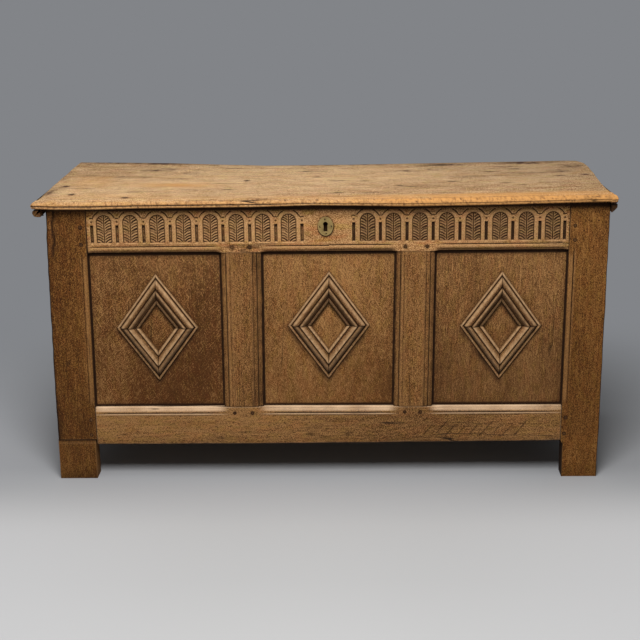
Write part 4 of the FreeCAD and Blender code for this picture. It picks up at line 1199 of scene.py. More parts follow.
@dataclass
class FrontFrame:
    """The front's posts, muntins and bottom rail with their run mouldings."""

    groove: float = 12.5
    foot_joint: float = 98.5
    muntins: dict[str, float] = field(default_factory=lambda: {"left": -196.0, "right": 196.0})
    muntin_half: float = 45.0
    muntin_ovolo: float = 10.5
    muntin_quirk: float = 20.6
    rail_lines: Span = (14.0, 20.6)
    spots: tuple[Mark, ...] = (
        Mark(-42, 112, 9, 7, 0.6), Mark(-35, 128, 26, 5, 0.35), Mark(46, 112, 9, 6, 0.6),
        Mark(164, 110, 7, 5, 0.5), Mark(-240, 104, 30, 4, 0.5), Mark(-190, 118, 22, 3, 0.5),
        Mark(-12, 104, 14, 3, 0.6), Mark(300, 130, 40, 6, 0.25), Mark(-330, 140, 60, 12, 0.15),
        Mark(98, 106, 18, 3, 0.5), Mark(330, 148, 8, 20, 0.2), Mark(430, 120, 6, 22, 0.25),
    )

    def build(self) -> None:
        """Make every timber of the front but the top rail."""
        self.build_stile("left", -1, self.foot_joint)
        self.build_stile("right", 1, 0.0)
        self.build_foot()
        for number, side in enumerate(self.muntins):
            self.build_muntin(side, 20 + number)
        self.build_bottom_rail()

    def build_stile(self, name: str, side: int, bottom: float) -> None:
        """Make one post.

        Args:
            name: The post's side, left or right.
            side: -1 for the left or 1 for the right.
            bottom: Where its foot ends, in millimetres.
        """
        inner = np.concatenate([6.0 * (1 - np.cos(np.linspace(0, math.pi / 2, 7))),
                                steps((7, 10.5, 1.2), (10.5, 14.5, 0.5), (14.5, 86, 4), (86, 92, 0.6))])
        xs = np.sort(side * (STILE_EDGE + inner))
        zs = steps((bottom, bottom + 3, 0.6), (bottom + 3, BODY_TOP - 3, 4), (BODY_TOP - 3, BODY_TOP, 0.6))

        def line(gap: Array, z: Array) -> Array:
            """Scratch the line beside the moulding.

            Args:
                gap: The distance from the inner edge.
                z: The points' Z.

            Returns:
                The line's strength.
            """
            run = smooth(z, OPENING_BOTTOM, OPENING_BOTTOM + 12) * smooth(z, OPENING_TOP + 6, OPENING_TOP - 8)
            fade = 0.35 + 0.65 * smooth(z, 250, 480) if side > 0 else 0.4
            return bump(gap, self.groove, 1.1) * run * fade

        def crack(x: Array, z: Array) -> Array:
            """Split the left post's top.

            Args:
                x: The points' X.
                z: The points' Z.

            Returns:
                The crack's strength.
            """
            if side > 0:
                return 0 * x
            bent = -619 - 5 * waves(z, z * 0, 30, 3.1)
            return bump(x, bent, 2.4) * smooth(z, 520, 570) * smooth(z, 655, 640)

        def cut(x: Array, z: Array) -> Array:
            """Round both edges, the inner one only beside its opening, and cut the line and the crack.

            Args:
                x: The points' X.
                z: The points' Z.

            Returns:
                How deep the face is cut.
            """
            gap, outer = np.abs(x) - STILE_EDGE, BODY_SIDE - np.abs(x)
            worn = 2.4 + 1.8 * waves(z, z * 0, 33, side + 5.5)
            run = smooth(z, OPENING_BOTTOM, OPENING_BOTTOM + 12) * smooth(z, OPENING_TOP, OPENING_TOP - 10)
            depth = np.maximum(rounding(gap, 5.0) * run, rounding(outer, worn))
            return depth + 2.2 * line(gap, z) + 3.0 * crack(x, z)

        def dirt(x: Array, z: Array) -> Pair:
            """Paint the lid's shadow on the strip under it, and darken the line, the crack, the edges and the
            leg.

            Args:
                x: The points' X.
                z: The points' Z.

            Returns:
                The grime and the wear.
            """
            gap, outer = np.abs(x) - STILE_EDGE, BODY_SIDE - np.abs(x)
            # Painted shadow of the lid's overhang on the post's top.
            grime = 0.97 * smooth(z, 643, 652) * lid_shadow_kept(z)
            grime += 0.7 * line(gap, z) + 0.95 * crack(x, z)
            grime += 0.8 * smooth(gap, 2.0, 0.6) + 0.2 * smooth(z, 40, 5)
            grime += 0.75 * smooth(outer, 3.4, 0.8)
            grime += 0.3 * smooth(outer, 7, 3) * (side < 0)
            # Darker toward the bottom.
            grime += 0.12 * smooth(z, 480, 200) * (1 - smooth(z, 120, 80) * (side > 0))
            if side < 0:
                grime += 0.15 * smooth(z, 300, 100) + 0.3 * smooth(outer, 20, 6) * smooth(z, 250, 120)
            wear = 0.35 * bump(gap, self.groove - 5, 2.5) * smooth(z, 180, 200) * smooth(z, 545, 530)
            return grime, wear

        def bend(x: Array, z: Array) -> Pair:
            """Hollow the outer edge and narrow the leg below the rail.

            Args:
                x: The points' X.
                z: The points' Z.

            Returns:
                Their new X and Z.
            """
            outer = smooth(np.abs(x), BODY_SIDE - 25, BODY_SIDE)
            hollow = 2.0 * bump(z, 625, 40) + 0.8 * waves(z, z * 0, 26, 8.2)
            if side > 0:
                hollow = 0.8 * waves(z, z * 0, 44, 1.2) + 2.0 * smooth(z, 150, 60)
            leg = smooth(np.abs(x), STILE_EDGE + 13, STILE_EDGE) * smooth(z, RAIL_FOOT + 1, RAIL_FOOT - 4)
            return SETTLING.x(x, z) - side * (outer * hollow - 5.0 * leg), z

        def back_dirt(x: Array) -> Array:
            """Paint shade on the back and sides, darker toward the opening."""
            return 0.25 + 0.7 * smooth(np.abs(x), 570, 550)

        timber = Timber(f"{name}_post", xs, zs, cut, back=STILE_BACK, seed=side + 3, bend=bend, dirt=dirt,
                        back_dirt=back_dirt)
        oak = replace(STILE_OAK, middle=srgb(91, 51, 11)) if side < 0 else STILE_OAK
        material = oak.material(f"oak_{name}_post", Grain.UPRIGHT, side + 6)
        publish(f"{name}_post", timber.mesh(), "carcass", material, [f"front_{name}_stile"])

    def build_foot(self) -> None:
        """Make the block let in below the left post."""
        xs = steps((-636, -633, 0.6), (-633, -551, 6), (-551, -548, 0.6))
        zs = steps((0, 3, 0.6), (3, 95.5, 5), (95.5, 98.5, 0.6))

        def dirt(x: Array, z: Array) -> Pair:
            """Darken the sole and the joint above, whose lower edge is worn."""
            shade = 0.26 + 0.3 * smooth(z, 30, 0) + 0.12 * waves(x, z, 30, 4.4)
            return 0.9 * smooth(z, 94.5, 98) + shade, 0.4 * bump(z, 92, 2)

        timber = Timber("left_foot_block", xs, zs, lambda x, z: x * 0, BODY_FRONT - 1, STILE_BACK,
                        arris=1.5, waver=0.35, seed=9, bend=lambda x, z: (x - 1.5, z), dirt=dirt)
        mesh = timber.mesh()
        add_tenons(mesh, [((-609, -210, 97), (-569, -196, 127))])
        material = STILE_OAK.material("oak_foot_block", Grain.UPRIGHT, 14)
        publish("left_foot_block", mesh, "carcass", material, ["front_left_foot_block"])

    def muntin_cut(self, inner: Array) -> Array:
        """Cut a muntin's edge moulding: ovolo, fillet and quirk.

        Args:
            inner: The distance of each point from the muntin's edge.

        Returns:
            How deep the moulding is cut.
        """
        ovolo_share = 1 - np.clip(inner / self.muntin_ovolo, 0, 1)
        ovolo = 3.6 + 8.2 * (1 - np.sqrt(np.clip(1 - ovolo_share**2, 0, 1)))
        step = 1.1 + 2.5 * smooth(inner, 13.0, 11.4)
        depth = np.where(inner < self.muntin_ovolo, ovolo, step)
        depth = depth * smooth(inner, self.muntin_quirk, self.muntin_quirk - 1.4)
        depth += 1.2 * bump(inner, self.muntin_quirk, 1.1)
        return depth + 1.2 * bump(inner, self.muntin_ovolo + 0.7, 0.9)

    def build_muntin(self, name: str, seed: int) -> None:
        """Make one muntin with its two mouldings and its tenons.

        Args:
            name: The muntin's side, left or right.
            seed: Picks its own pattern.
        """
        centre = self.muntins[name]
        flat = steps((9.8, 13.4, 0.45), (13.4, 18.4, 1.25), (18.4, 21.8, 0.45), (21.8, self.muntin_half, 3.9))
        inward = np.concatenate([[0, 0.4, 1, 1.8, 3, 4.5, 6.5, 8.5], flat]) - self.muntin_half
        xs = np.unique(np.round(np.concatenate([centre + inward, centre - inward]), 3))
        zs = steps((OPENING_BOTTOM, OPENING_TOP, 5.0))

        def cut(x: Array, z: Array) -> Array:
            """Cut the moulding on both edges, unevenly worn."""
            inner = self.muntin_half - np.abs(x - centre)
            return self.muntin_cut(inner) * (1 + 0.25 * waves(x, z, 60, seed))

        def dirt(x: Array, z: Array) -> Pair:
            """Darken the grooves of the moulding and the ends, paint shade on the edges and the ovolo, more
            on the right-hand moulding, and paint a highlight on the left fillet.

            Args:
                x: The points' X.
                z: The points' Z.

            Returns:
                The grime and the wear.
            """
            inner = self.muntin_half - np.abs(x - centre)
            ragged = 0.8 + 0.5 * waves(x, z, 30, seed + 4)
            right = smooth(x, centre - 5, centre + 5)
            # Painted shade on the ovolo and in the gap at each edge.
            grime = 0.22 * smooth(inner, 11, 9) + 0.9 * smooth(inner, 3.0, 1.4)
            # The right-hand quirk and moulding get painted shade, from light falling from the left.
            grime += (0.08 + 0.5 * right) * bump(inner, self.muntin_quirk, 1.5)
            grime += (0.6 - 0.2 * right) * bump(inner, 12.4, 1.3)
            grime += 0.26 * right * smooth(inner, 20, 18)
            grime += 0.8 * smooth(z, OPENING_BOTTOM + 3, OPENING_BOTTOM)
            grime += 0.5 * smooth(z, OPENING_TOP - 3, OPENING_TOP)
            # A painted highlight on the left-hand fillet.
            wear = 0.5 * bump(inner, 16.2, 1.8) * (1 - right)
            return grime * ragged, wear * ragged

        # The muntin's sides, in the gaps beside the panels, get painted shade.
        timber = Timber(f"front_muntin_{name}", xs, zs, cut, arris=0.3, seed=seed, bend=SETTLING.upright,
                        dirt=dirt, back_dirt=lambda x: x * 0 + 0.95)
        mesh = timber.mesh()
        middle = float(SETTLING.x(np.array(centre), np.array(OPENING_MIDDLE)))
        half = self.muntin_half - 10
        add_tenons(mesh, [((middle - half, TENON_FRONT, z), (middle + half, TENON_BACK, z + rise))
                          for z, rise in ((OPENING_TOP - 1, 40), (OPENING_BOTTOM + 1, -40))])
        material = MUNTIN_OAK.material(f"oak_{name}_muntin", Grain.UPRIGHT, seed)
        publish(f"front_muntin_{name}", mesh, "carcass", material, [f"front_{name}_muntin"])

    def build_bottom_rail(self) -> None:
        """Make the bottom rail with its bright upper chamfer and the scratched lines below it."""
        stops = sorted(value for pair in OPENINGS for value in pair)
        runs = [(start, end, 2.2) for start, end in zip(stops, stops[1:])]
        xs = steps(*runs, (-STILE_EDGE, 2 - STILE_EDGE, 0.5), (STILE_EDGE - 2, STILE_EDGE, 0.5))
        zs = steps((RAIL_FOOT, RAIL_FOOT + 4, 0.7), (RAIL_FOOT + 4, OPENING_BOTTOM - 20, 2.5),
                   (OPENING_BOTTOM - 20, OPENING_BOTTOM, 0.8), (OPENING_BOTTOM - 1, OPENING_BOTTOM, 0.3))
        upper_line, lower_line = self.rail_lines

        def runs_out(x: Array, start: float, length: float) -> Array:
            """Run a cut along each opening.

            Args:
                x: The points' X.
                start: How far inside the opening's sides it starts.
                length: How far it takes to reach its full depth.

            Returns:
                The share of its depth.
            """
            total = np.zeros_like(x)
            for left, right in OPENINGS:
                rise = smooth(x, left + start, left + start + length)
                total += rise * smooth(x, right - start, right - start - length)
            return total

        def chamfer(x: Array) -> Array:
            """Run the chamfer a little past each opening's sides."""
            return runs_out(x, -16, 34)

        def lines(x: Array, down: Array, upper: Span, lower: Span) -> Array:
            """Run the two scratched lines, each with its strength and its width."""
            drawn = upper[0] * bump(down, upper_line, upper[1]) + lower[0] * bump(down, lower_line, lower[1])
            return drawn * runs_out(x, 4, 40)

        def cut(x: Array, z: Array) -> Array:
            """Cut the chamfer and the lines, and round the lower edge unevenly.

            Args:
                x: The points' X.
                z: The points' Z.

            Returns:
                How deep the face is cut.
            """
            down = OPENING_BOTTOM - z
            depth = np.clip(8.0 - down * 0.85, 0, 9) * chamfer(x)
            depth += lines(x, down, (1.5, 1.0), (0.9, 0.9))
            lower = 3 + 4 * np.clip(waves(x, x * 0, 120, 4.4), 0, 1)
            return np.maximum(depth, rounding(z - RAIL_FOOT, lower))

        def dirt(x: Array, z: Array) -> Pair:
            """Darken the lines, the slanting cracks, the spots and the edges, and mark the rubbing on the
            chamfer.

            Args:
                x: The points' X.
                z: The points' Z.

            Returns:
                The grime and the wear.
            """
            down = OPENING_BOTTOM - z
            bare = chamfer(x)
            grime = lines(x, down, (0.65, 1.3), (0.15, 1.0))
            grime += (0.26 * bump(down, 3.2, 0.9) + 0.12 * bump(down, 6.4, 0.8)) * bare
            grime += 0.3 * smooth(z, 112, 91) + 0.12 * smooth(x, 430, 500) * smooth(down, 12, 9)
            for number in range(9):
                slant = x - 230 - 27 * number - (z - 120) * (0.8 + 0.25 * math.sin(3.1 * number))
                low, high = 104 + 6 * math.sin(2.3 * number), 138 + 9 * math.sin(1.7 * number)
                ends = smooth(z, low, low + 5) * smooth(z, high, high - 5)
                grime += 0.85 * bump(slant, 0, 2.0) * ends
            grime += 0.6 * smooth(z, RAIL_FOOT + 4, RAIL_FOOT + 0.5) + blots(x, z, self.spots)
            grime += 0.6 * smooth(np.abs(x), STILE_EDGE - 2.5, STILE_EDGE)
            wear = 0.72 * smooth(down, 10.2, 6.8) + 0.3 * bump(down, 0.8, 1.0) + 0.6 * bump(down, 16.9, 1.2)
            wear = wear * bare * (1 - 0.3 * smooth(x, 430, 500))
            return grime * (0.8 + 0.5 * waves(x, z, 16, 2.2)), wear * (0.85 + 0.4 * waves(x, z, 40, 5.2))

        timber = Timber("bottom_rail", xs, zs, cut, arris=0.8, waver=0.4, seed=31, bend=SETTLING.rail,
                        dirt=dirt)
        mesh = timber.mesh()
        low, high = RAIL_FOOT + 12, OPENING_BOTTOM - 12
        add_tenons(mesh, [((sign * STILE_EDGE, TENON_FRONT, low), (sign * TENON_END, TENON_BACK, high))
                          for sign in (-1, 1)])
        material = BOTTOM_OAK.material("oak_bottom_rail", Grain.LEVEL, 33)
        publish("bottom_rail", mesh, "carcass", material, ["front_bottom_rail"])


@dataclass
class Panels:
    """The front's three panels, each held in grooves round its opening."""

    groove: float = 8.8
    edge_thickness: float = 7.8
    thickness: float = 12.0
    margin: float = 30.0
    leans: dict[str, float] = field(default_factory=lambda: {"left": -0.75, "centre": 0.6, "right": 0.12})
    tones: dict[str, Colour] = field(default_factory=lambda: {
        "left": srgb(87, 50, 17), "centre": srgb(105, 67, 30), "right": srgb(109, 72, 37)})
    # How much darker each panel gets toward its foot.
    low_dirt: dict[str, float] = field(default_factory=lambda: {"left": 0.10, "centre": 0.04, "right": 0.24})

    def build(self) -> None:
        """Make each panel with dirt and painted shadow along its edges and round its lozenge."""
        for number, (side, centre) in enumerate(LOZENGE_CENTRES.items()):
            half = OPENING_HALF + self.groove
            left, right = centre - half, centre + half
            xs = steps((left, left + 8, 4.0), (left + 8, left + 17, 0.9), (left + 17, right - 17, 4.0),
                       (right - 17, right - 8, 0.9), (right - 8, right, 4.0))
            zs = steps((OPENING_BOTTOM - self.groove - 2, OPENING_TOP - 14, 4.0),
                       (OPENING_TOP - 14, OPENING_TOP, 0.9), (OPENING_TOP, OPENING_TOP + self.groove, 4.0))

            def cut(x: Array, z: Array, seed: float = 40 + number) -> Array:
                """Let the panel's face waver."""
                return 0.5 * waves(x, z, 170, seed) + 0.3

            def dirt(x: Array, z: Array, side: str = side, seed: float = 60 + number) -> Pair:
                """Give the panel its own dirt and painted shadow."""
                return self.dust(x, z, side, seed)

            back = PANEL_FACE + self.edge_thickness
            timber = Timber(f"{side}_panel", xs, zs, cut, PANEL_FACE, back, 0.3, 0.12, 50 + number,
                            self.bend, dirt)
            mesh = timber.mesh()
            self.bevel_back(mesh)
            oak = replace(PANEL_OAK, lean=self.leans[side], middle=self.tones[side])
            material = oak.material(f"oak_{side}_panel", Grain.UPRIGHT, 41 + 3 * number)
            publish(f"{side}_panel", mesh, "carcass", material, [f"front_{side}_panel"])

    def bend(self, x: Array, z: Array) -> Pair:
        """Let the panel follow its frame sideways."""
        return SETTLING.x(x, z), z

    def bevel_back(self, mesh: Mesh) -> None:
        """Raise the panel's back into a field with bevelled margins.

        Args:
            mesh: The panel's mesh, whose back is a single face.
        """
        raised = (self.thickness - self.edge_thickness) * MM
        with opened(mesh) as shape:
            rear = [face for face in shape.faces if len(face.verts) > 8]
            bmesh.ops.inset_region(shape, faces=rear, thickness=self.margin * MM, depth=0,
                                   use_even_offset=True)
            verts = {vert for face in rear for vert in face.verts}
            bmesh.ops.translate(shape, verts=list(verts), vec=(0, raised, 0))

    def dust(self, x: Array, z: Array, side: str, seed: float) -> Pair:
        """Paint shadow on the panel along its frame, under the top rail and round its lozenge, and darken it
        toward its foot.

        Args:
            x: The points' X.
            z: The points' Z.
            side: Which panel it is.
            seed: Picks the panel's own pattern.

        Returns:
            The grime and the wear at each point.
        """
        centre = LOZENGE_CENTRES[side]
        half_height = (OPENING_TOP - OPENING_BOTTOM) / 2
        frame_gap = np.minimum(OPENING_HALF - np.abs(x - centre), half_height - np.abs(z - OPENING_MIDDLE))
        away = np.abs(x - centre) / Lozenge.half_width
        away += np.abs(z - Lozenge.centre_height) / Lozenge.half_height
        rim = (away - 1) * Lozenge.reach
        soft = 0.7 + 0.7 * waves(x, z, 35, seed)
        top_gap = OPENING_TOP - z
        # Painted shadow of the frame in a thin strip along the panel's edges, with softer dirt further in,
        # and painted shadow under the top rail.
        grime = 0.97 * smooth(frame_gap, 3.8, 2.3) + 0.22 * smooth(frame_gap, 18, 0) * soft
        grime += 0.95 * smooth(top_gap, 9.5, 6.5) + 0.3 * smooth(top_gap, 18, 8)
        # Dirt round the lozenge with painted shadow below it, and painted shadow inside its opening, deeper
        # at the top.
        below = smooth(Lozenge.centre_height - z, -20, 30)
        grime += (0.25 + 0.45 * below) * smooth(rim, 7 + 5 * below, 1) * (rim > -20) * soft
        grime += (0.6 - 0.36 * below) * smooth(rim, -50, -43) * smooth(rim, -34, -40)
        # Darker toward the foot.
        low = self.low_dirt[side] * smooth(z, 500, 210)
        low += 0.10 * smooth(z, 300, 190) * waves(x, z, 60, seed + 1)
        return grime + low, 0.1 * smooth(z, 430, 540) * soft


@dataclass
class Lozenge:
    """One applied lozenge of four mitred strips of moulding."""

    side: str
    half_width: float = 94.9
    half_height: float = 130.2
    centre_height: float = 369.8
    reach: float = 76.7
    widen: float = 1.05
    strip: float = 157.0
    mitre: float = 0.0025
    count: int = 40
    shifts: dict[str, Span] = field(
        default_factory=lambda: {"left": (1.1, 0.4), "centre": (0.3, 3.6), "right": (2.9, 0.3)})

    def profile(self) -> tuple[Array, Array, Array, Array]:
        """Give the moulding's section.

        Returns:
            The distance from the outer edge, the height over the panel, the dirt with painted shade, and the
            rubbing with painted highlights.
        """
        rows = [
            (0, 0, 0.8, 0), (0.15, 2.6, 0.3, 0), (0.8, 4.2, 0.1, 0.2), (1.9, 5.3, 0, 0.6),
            (3.1, 5.7, 0, 1.0), (4.4, 5.2, 0, 0.7), (5.6, 4.0, 0.2, 0.2), (6.6, 2.6, 0.85, 0),
            (7.5, 2.8, 0.9, 0), (8.1, 5.6, 0.2, 0.4),
            (9.2, 8.4, 0, 0.8), (10.8, 10.8, 0, 0.8), (12.8, 12.8, 0.05, 0.4), (15.0, 14.0, 0.12, 0.1),
            (17.2, 14.2, 0.2, 0), (18.8, 13.6, 0.3, 0), (19.8, 12.6, 0.5, 0), (20.4, 11.4, 0.9, 0),
            (21.2, 11.8, 0.85, 0), (21.7, 14.8, 0.1, 0.5), (22.8, 16.4, 0, 0.9), (24.2, 17.0, 0, 0.95),
            (25.8, 16.4, 0, 0.6), (27.8, 14.4, 0.05, 0.5), (29.8, 11.8, 0.1, 0.3), (31.6, 9.4, 0.2, 0),
            (33.2, 8.0, 0.5, 0), (33.9, 6.6, 0.95, 0), (34.8, 6.6, 0.95, 0), (35.4, 8.4, 0.2, 0.3),
            (36.6, 9.4, 0, 0.8), (38.2, 9.6, 0, 0.9), (39.6, 9.0, 0, 0.6), (40.8, 7.6, 0.1, 0.3),
            (41.2, 5.0, 0.2, 0.2), (41.4, 0, 0.5, 0),
        ]
        across, height, soil, shine = np.array(rows, float).T
        return across * self.widen, height, soil, shine

    def build(self, seed: int) -> None:
        """Make the four strips as one piece, each with its own grain and slight play at the mitres.

        Args:
            seed: Picks the lozenge's own pattern.
        """
        shift, lift_all = self.shifts[self.side]
        centre = LOZENGE_CENTRES[self.side] + shift
        middle_height = self.centre_height + lift_all
        across, height, soil, shine = self.profile()
        # Painted shade on the upper strips' inner, downward-facing slopes and, below, on the lower strips'
        # outer ones.
        shadow = 0.6 * bump(across, 31.6, 2.6) + 0.35 * bump(across, 26.8, 2.4)
        shadow += 0.5 * smooth(across, 36.5, 38.2) + 0.5 * smooth(across, 41.2, 42.6)
        shadow += 0.3 * smooth(across, 14, 19) * smooth(across, 21.6, 21)
        lower_shadow = 0.85 * smooth(across, 2.2, 0.6) + 0.6 * bump(across, 22.2, 1.5)
        lower_shadow += 0.78 * smooth(across, 17.5, 10.5) * smooth(across, 6.5, 7.5)
        # Painted highlights are kept where the strips face up, and cut where they face down.
        upper_highlight_share = 1 - 0.4 * smooth(across, 20, 22) - 0.25 * smooth(across, 35, 37)
        lower_highlight_share = 1 - 0.65 * smooth(across, 8, 6)
        corners = [(0, 1), (1, 0), (0, -1), (-1, 0)]
        hand = np.random.default_rng(seed)
        joined = bmesh.new()
        for number, (start, end) in enumerate(zip(corners, corners[1:] + corners[:1])):
            lift = hand.uniform(-0.35, 0.35)
            marks: dict[str, Array] = {}

            def place(column: Array, row: Array, far: Array, start: tuple = start, end: tuple = end,
                      lift: float = lift, number: int = number, marks: dict = marks) -> Array:
                """Give the points of one strip and note its grime and wear.

                Args:
                    column: The place of each point along the strip.
                    row: Its row in the moulding's section.
                    far: 0 on the face, 1 on the back.
                    start: The corner that the strip starts from.
                    end: The corner that it runs to.
                    lift: How far it stands out more than its fellows.
                    number: The strip's number.
                    marks: Takes the grime and the wear.

                Returns:
                    The points, in millimetres.
                """
                share = self.mitre + (1 - 2 * self.mitre) * column / (self.count - 1)
                scale = 1 - across[row] / self.reach
                x = centre + (start[0] + (end[0] - start[0]) * share) * self.half_width * scale
                z = middle_height + (start[1] + (end[1] - start[1]) * share) * self.half_height * scale
                chip = 0.45 * waves(share * self.strip, across[row], 14, seed + number * 3.3)
                gap = np.minimum(share, 1 - share) * self.strip
                play = (lift + chip - 0.9 * smooth(gap, 4, 0)) * (height[row] > 1)
                rise = np.maximum(height[row] + play, 0)
                y = np.where(far > 0, PANEL_FACE + 0.4, PANEL_FACE - rise)
                shade = shadow[row] if start[1] + end[1] > 0 else lower_shadow[row]
                mitre = 0.6 * smooth(gap, 1.8, 0) * smooth(across[row], 5, 9)
                marks["grime"] = (soil[row] + shade + mitre) * (1 - far)
                # The rubbing and painted highlights of each strip, with a painted highlight on the lower
                # strips' torus.
                rub_and_highlight = upper_highlight_share[row] if start[1] + end[1] > 0 else lower_highlight_share[row]
                rub_and_highlight = rub_and_highlight * shine[row] + 0.45 * bump(across[row], 17, 2.2) * (start[1] + end[1] < 0)
                uneven = 0.8 + 0.5 * waves(share * self.strip, across[row], 9, seed)
                marks["wear"] = rub_and_highlight * uneven * (1 - far)
                return np.stack([SETTLING.x(x, z), y, z], 1)

            mesh = slab(f"{self.side}_strip_{number}", self.count, len(across), place)
            for key, values in marks.items():
                paint(mesh, key, values)
            joined.from_mesh(mesh)
        bmesh.ops.recalc_face_normals(joined, faces=joined.faces)
        mesh = make_mesh(f"{self.side}_lozenge_mouldings", joined)
        falling = MOULDING_OAK.material(f"oak_{self.side}_falling_strips", Grain.FALLING, seed)
        rising = MOULDING_OAK.material(f"oak_{self.side}_rising_strips", Grain.RISING, seed + 1)
        publish(f"{self.side}_lozenge_mouldings", mesh, "carcass", falling,
                [f"{self.side}_lozenge"], 50)
        mesh.materials.append(rising)
        middle = float(SETTLING.x(np.array(centre), np.array(middle_height)))
        for face in mesh.polygons:
            leaning = (face.center.x - middle * MM) * (face.center.z - middle_height * MM)
            face.material_index = 0 if leaning > 0 else 1


# ---------------- lid


@dataclass
class Lid:
    """The plank lid: two boards, bowed and worn, with a thumb moulding along the front."""

    joint: float = 40.0
    length: float = 1290.0
    half_depth: float = 245.0
    underside: float = BODY_TOP
    overhang: float = BODY_SIDE + 2
    cleat_front: float = -240.0
    stains: tuple[Mark, ...] = (
        Mark(-430, 129, 34, 18, 0.5), Mark(-395, 150, 26, 10, 0.45), Mark(-343, 96, 26, 12, 0.35),
        Mark(-318, 137, 22, 12, 0.3), Mark(-417, 222, 60, 14, 0.7), Mark(-540, 232, 60, 10, 0.45),
        Mark(-636, -139, 16, 60, 0.55), Mark(-642, 40, 10, 90, 0.3), Mark(200, 109, 30, 14, 0.5),
        Mark(262, 130, 34, 16, 0.35), Mark(300, 196, 50, 16, 0.5), Mark(491, 205, 60, 16, 0.6),
        Mark(446, 153, 28, 10, 0.4), Mark(503, 50, 40, 10, 0.3), Mark(569, 75, 26, 18, 0.45),
        Mark(604, 144, 22, 24, 0.4), Mark(-30, 216, 90, 10, 0.5), Mark(100, 214, 40, 9, 0.4),
        Mark(346, 18, 60, 12, 0.2), Mark(-590, 60, 40, 14, 0.2), Mark(-150, -236, 34, 6, 0.45),
    )
    specks: tuple[Mark, ...] = (
        Mark(-580, -171, 7, 7, 1.0), Mark(-612, -75, 8, 9, 0.8), Mark(-450, -212, 8, 7, 1.0),
        Mark(-442, -146, 22, 4, 0.5), Mark(-190, -7, 6, 8, 0.9), Mark(-236, 172, 24, 4, 0.8),
        Mark(-225, -122, 14, 4, 0.5), Mark(-23, 37, 9, 5, 0.6), Mark(29, -19, 22, 4, 0.6),
        Mark(93, -23, 10, 4, 0.5), Mark(174, -92, 8, 5, 0.6), Mark(197, -105, 18, 4, 0.5),
        Mark(298, -46, 14, 4, 0.7), Mark(422, -79, 16, 4, 0.5), Mark(458, -106, 10, 4, 0.5),
        Mark(400, 84, 20, 4, 0.5), Mark(621, 17, 8, 8, 0.6), Mark(-608, 205, 10, 5, 0.5),
        Mark(35, -219, 40, 4, 0.35), Mark(-348, 20, 26, 4, 0.3), Mark(560, 10, 12, 4, 0.6),
    )
    streaks: tuple[Mark, ...] = (
        Mark(-348, -65, 90, 26, 0.7), Mark(-560, -20, 60, 70, 0.35), Mark(-480, -190, 120, 24, 0.3),
        Mark(60, -222, 600, 18, 0.35), Mark(420, -226, 300, 20, 0.6),
    )

    def outline(self, share: Array, depth: Array) -> Pair:
        """Bend the plan of the lid.

        Args:
            share: The place from the left end, 0, to the right end, 1.
            depth: The place from the front edge to the rear edge, before the bending.

        Returns:
            X and Y of each point.
        """
        left = np.interp(depth, [-251, -240, -228, -204, -61, 53, 161, 245],
                         [-658, -654, -647, -645, -646, -643, -641, -638])
        right = np.interp(depth, [-252, -246, -238, -224, -173, -116, 38, 134, 200, 225, 245],
                          [652.5, 650, 644, 639, 637, 638, 645, 648, 647, 641, 630])
        x = left + (right - left) * share
        rear = np.interp(x, [-657, -600, -400, -165, 45, 400, 600, 650],
                         [245, 245, 236, 222, 222, 234, 236, 228])
        wave = 1.2 * waves(x, x * 0, 160, 1.7) * smooth(depth, -150, -245)
        drawn_in = (rear - self.joint) / (self.half_depth - self.joint)
        y = np.where(depth > self.joint, self.joint + (depth - self.joint) * drawn_in, depth + wave)
        return x, y

    def top(self, x: Array, y: Array) -> Array:
        """Give the height of the upper face, which has warped.

        Args:
            x: The points' X.
            y: The points' Y.

        Returns:
            Their Z.
        """
        rear = np.interp(x, [-650, -400, -165, 45, 400, 650], [682, 679, 672.5, 672.5, 674, 676])
        front = np.interp(x, [-650, -200, 100, 350, 520, 650], [676, 676, 676.5, 678, 680.5, 682.5])
        share = np.clip((y + self.half_depth) / (2 * self.half_depth), 0, 1)
        curved = share**1.3
        return front * (1 - share) + rear * curved + (share - curved) * 676 + 0.3 * waves(x, y, 80, 2.5)

    def lip(self, x: Array) -> Array:
        """Give the height of the front lip's lower edge."""
        return np.interp(x, [-650, -600, -520, -420, -150, -20, 80, 180, 380, 500, 650],
                         [658.0, 656.0, 655.5, 657.5, 658.6, 661.3, 659.4, 656.8, 658.6, 661.0, 663.6])

    def section(self, front: bool) -> Pair:
        """Give a board's section.

        Args:
            front: True for the front board, with the moulded edge, False for the rear board.

        Returns:
            The depth in the plan, and the place from the upper face, 0, to the lowest edge, 1.
        """
        if front:
            edge = [(-235, 0.0), (-237.2, 0.03), (-238, 0.10), (-239.6, 0.11), (-242.5, 0.13),
                    (-246, 0.19), (-248.8, 0.28), (-250.4, 0.38), (-251, 0.48), (-250.4, 0.56),
                    (-248.6, 0.61), (-247.6, 0.65), (-248.4, 0.69), (-249.6, 0.76), (-249.8, 0.84),
                    (-248.6, 0.92), (-246, 0.98), (-242, 1.0), (-232, 1.0)]
            top = np.linspace(self.joint, -233, 50)
            under = np.concatenate([[-228.5], np.linspace(-226.5, self.joint, 14)])
        else:
            edge = [(242, 0.02), (243.6, 0.08), (244.6, 0.2), (245, 0.4), (244.8, 0.7), (244, 0.9),
                    (242.6, 0.98)]
            top = np.linspace(self.joint, 238, 38)
            under = np.linspace(238, self.joint, 12)
        edge_depth, edge_fall = np.array(edge, float).T
        depth = np.concatenate([top, edge_depth, under])
        return depth, np.concatenate([top * 0, edge_fall, under * 0 + 1])

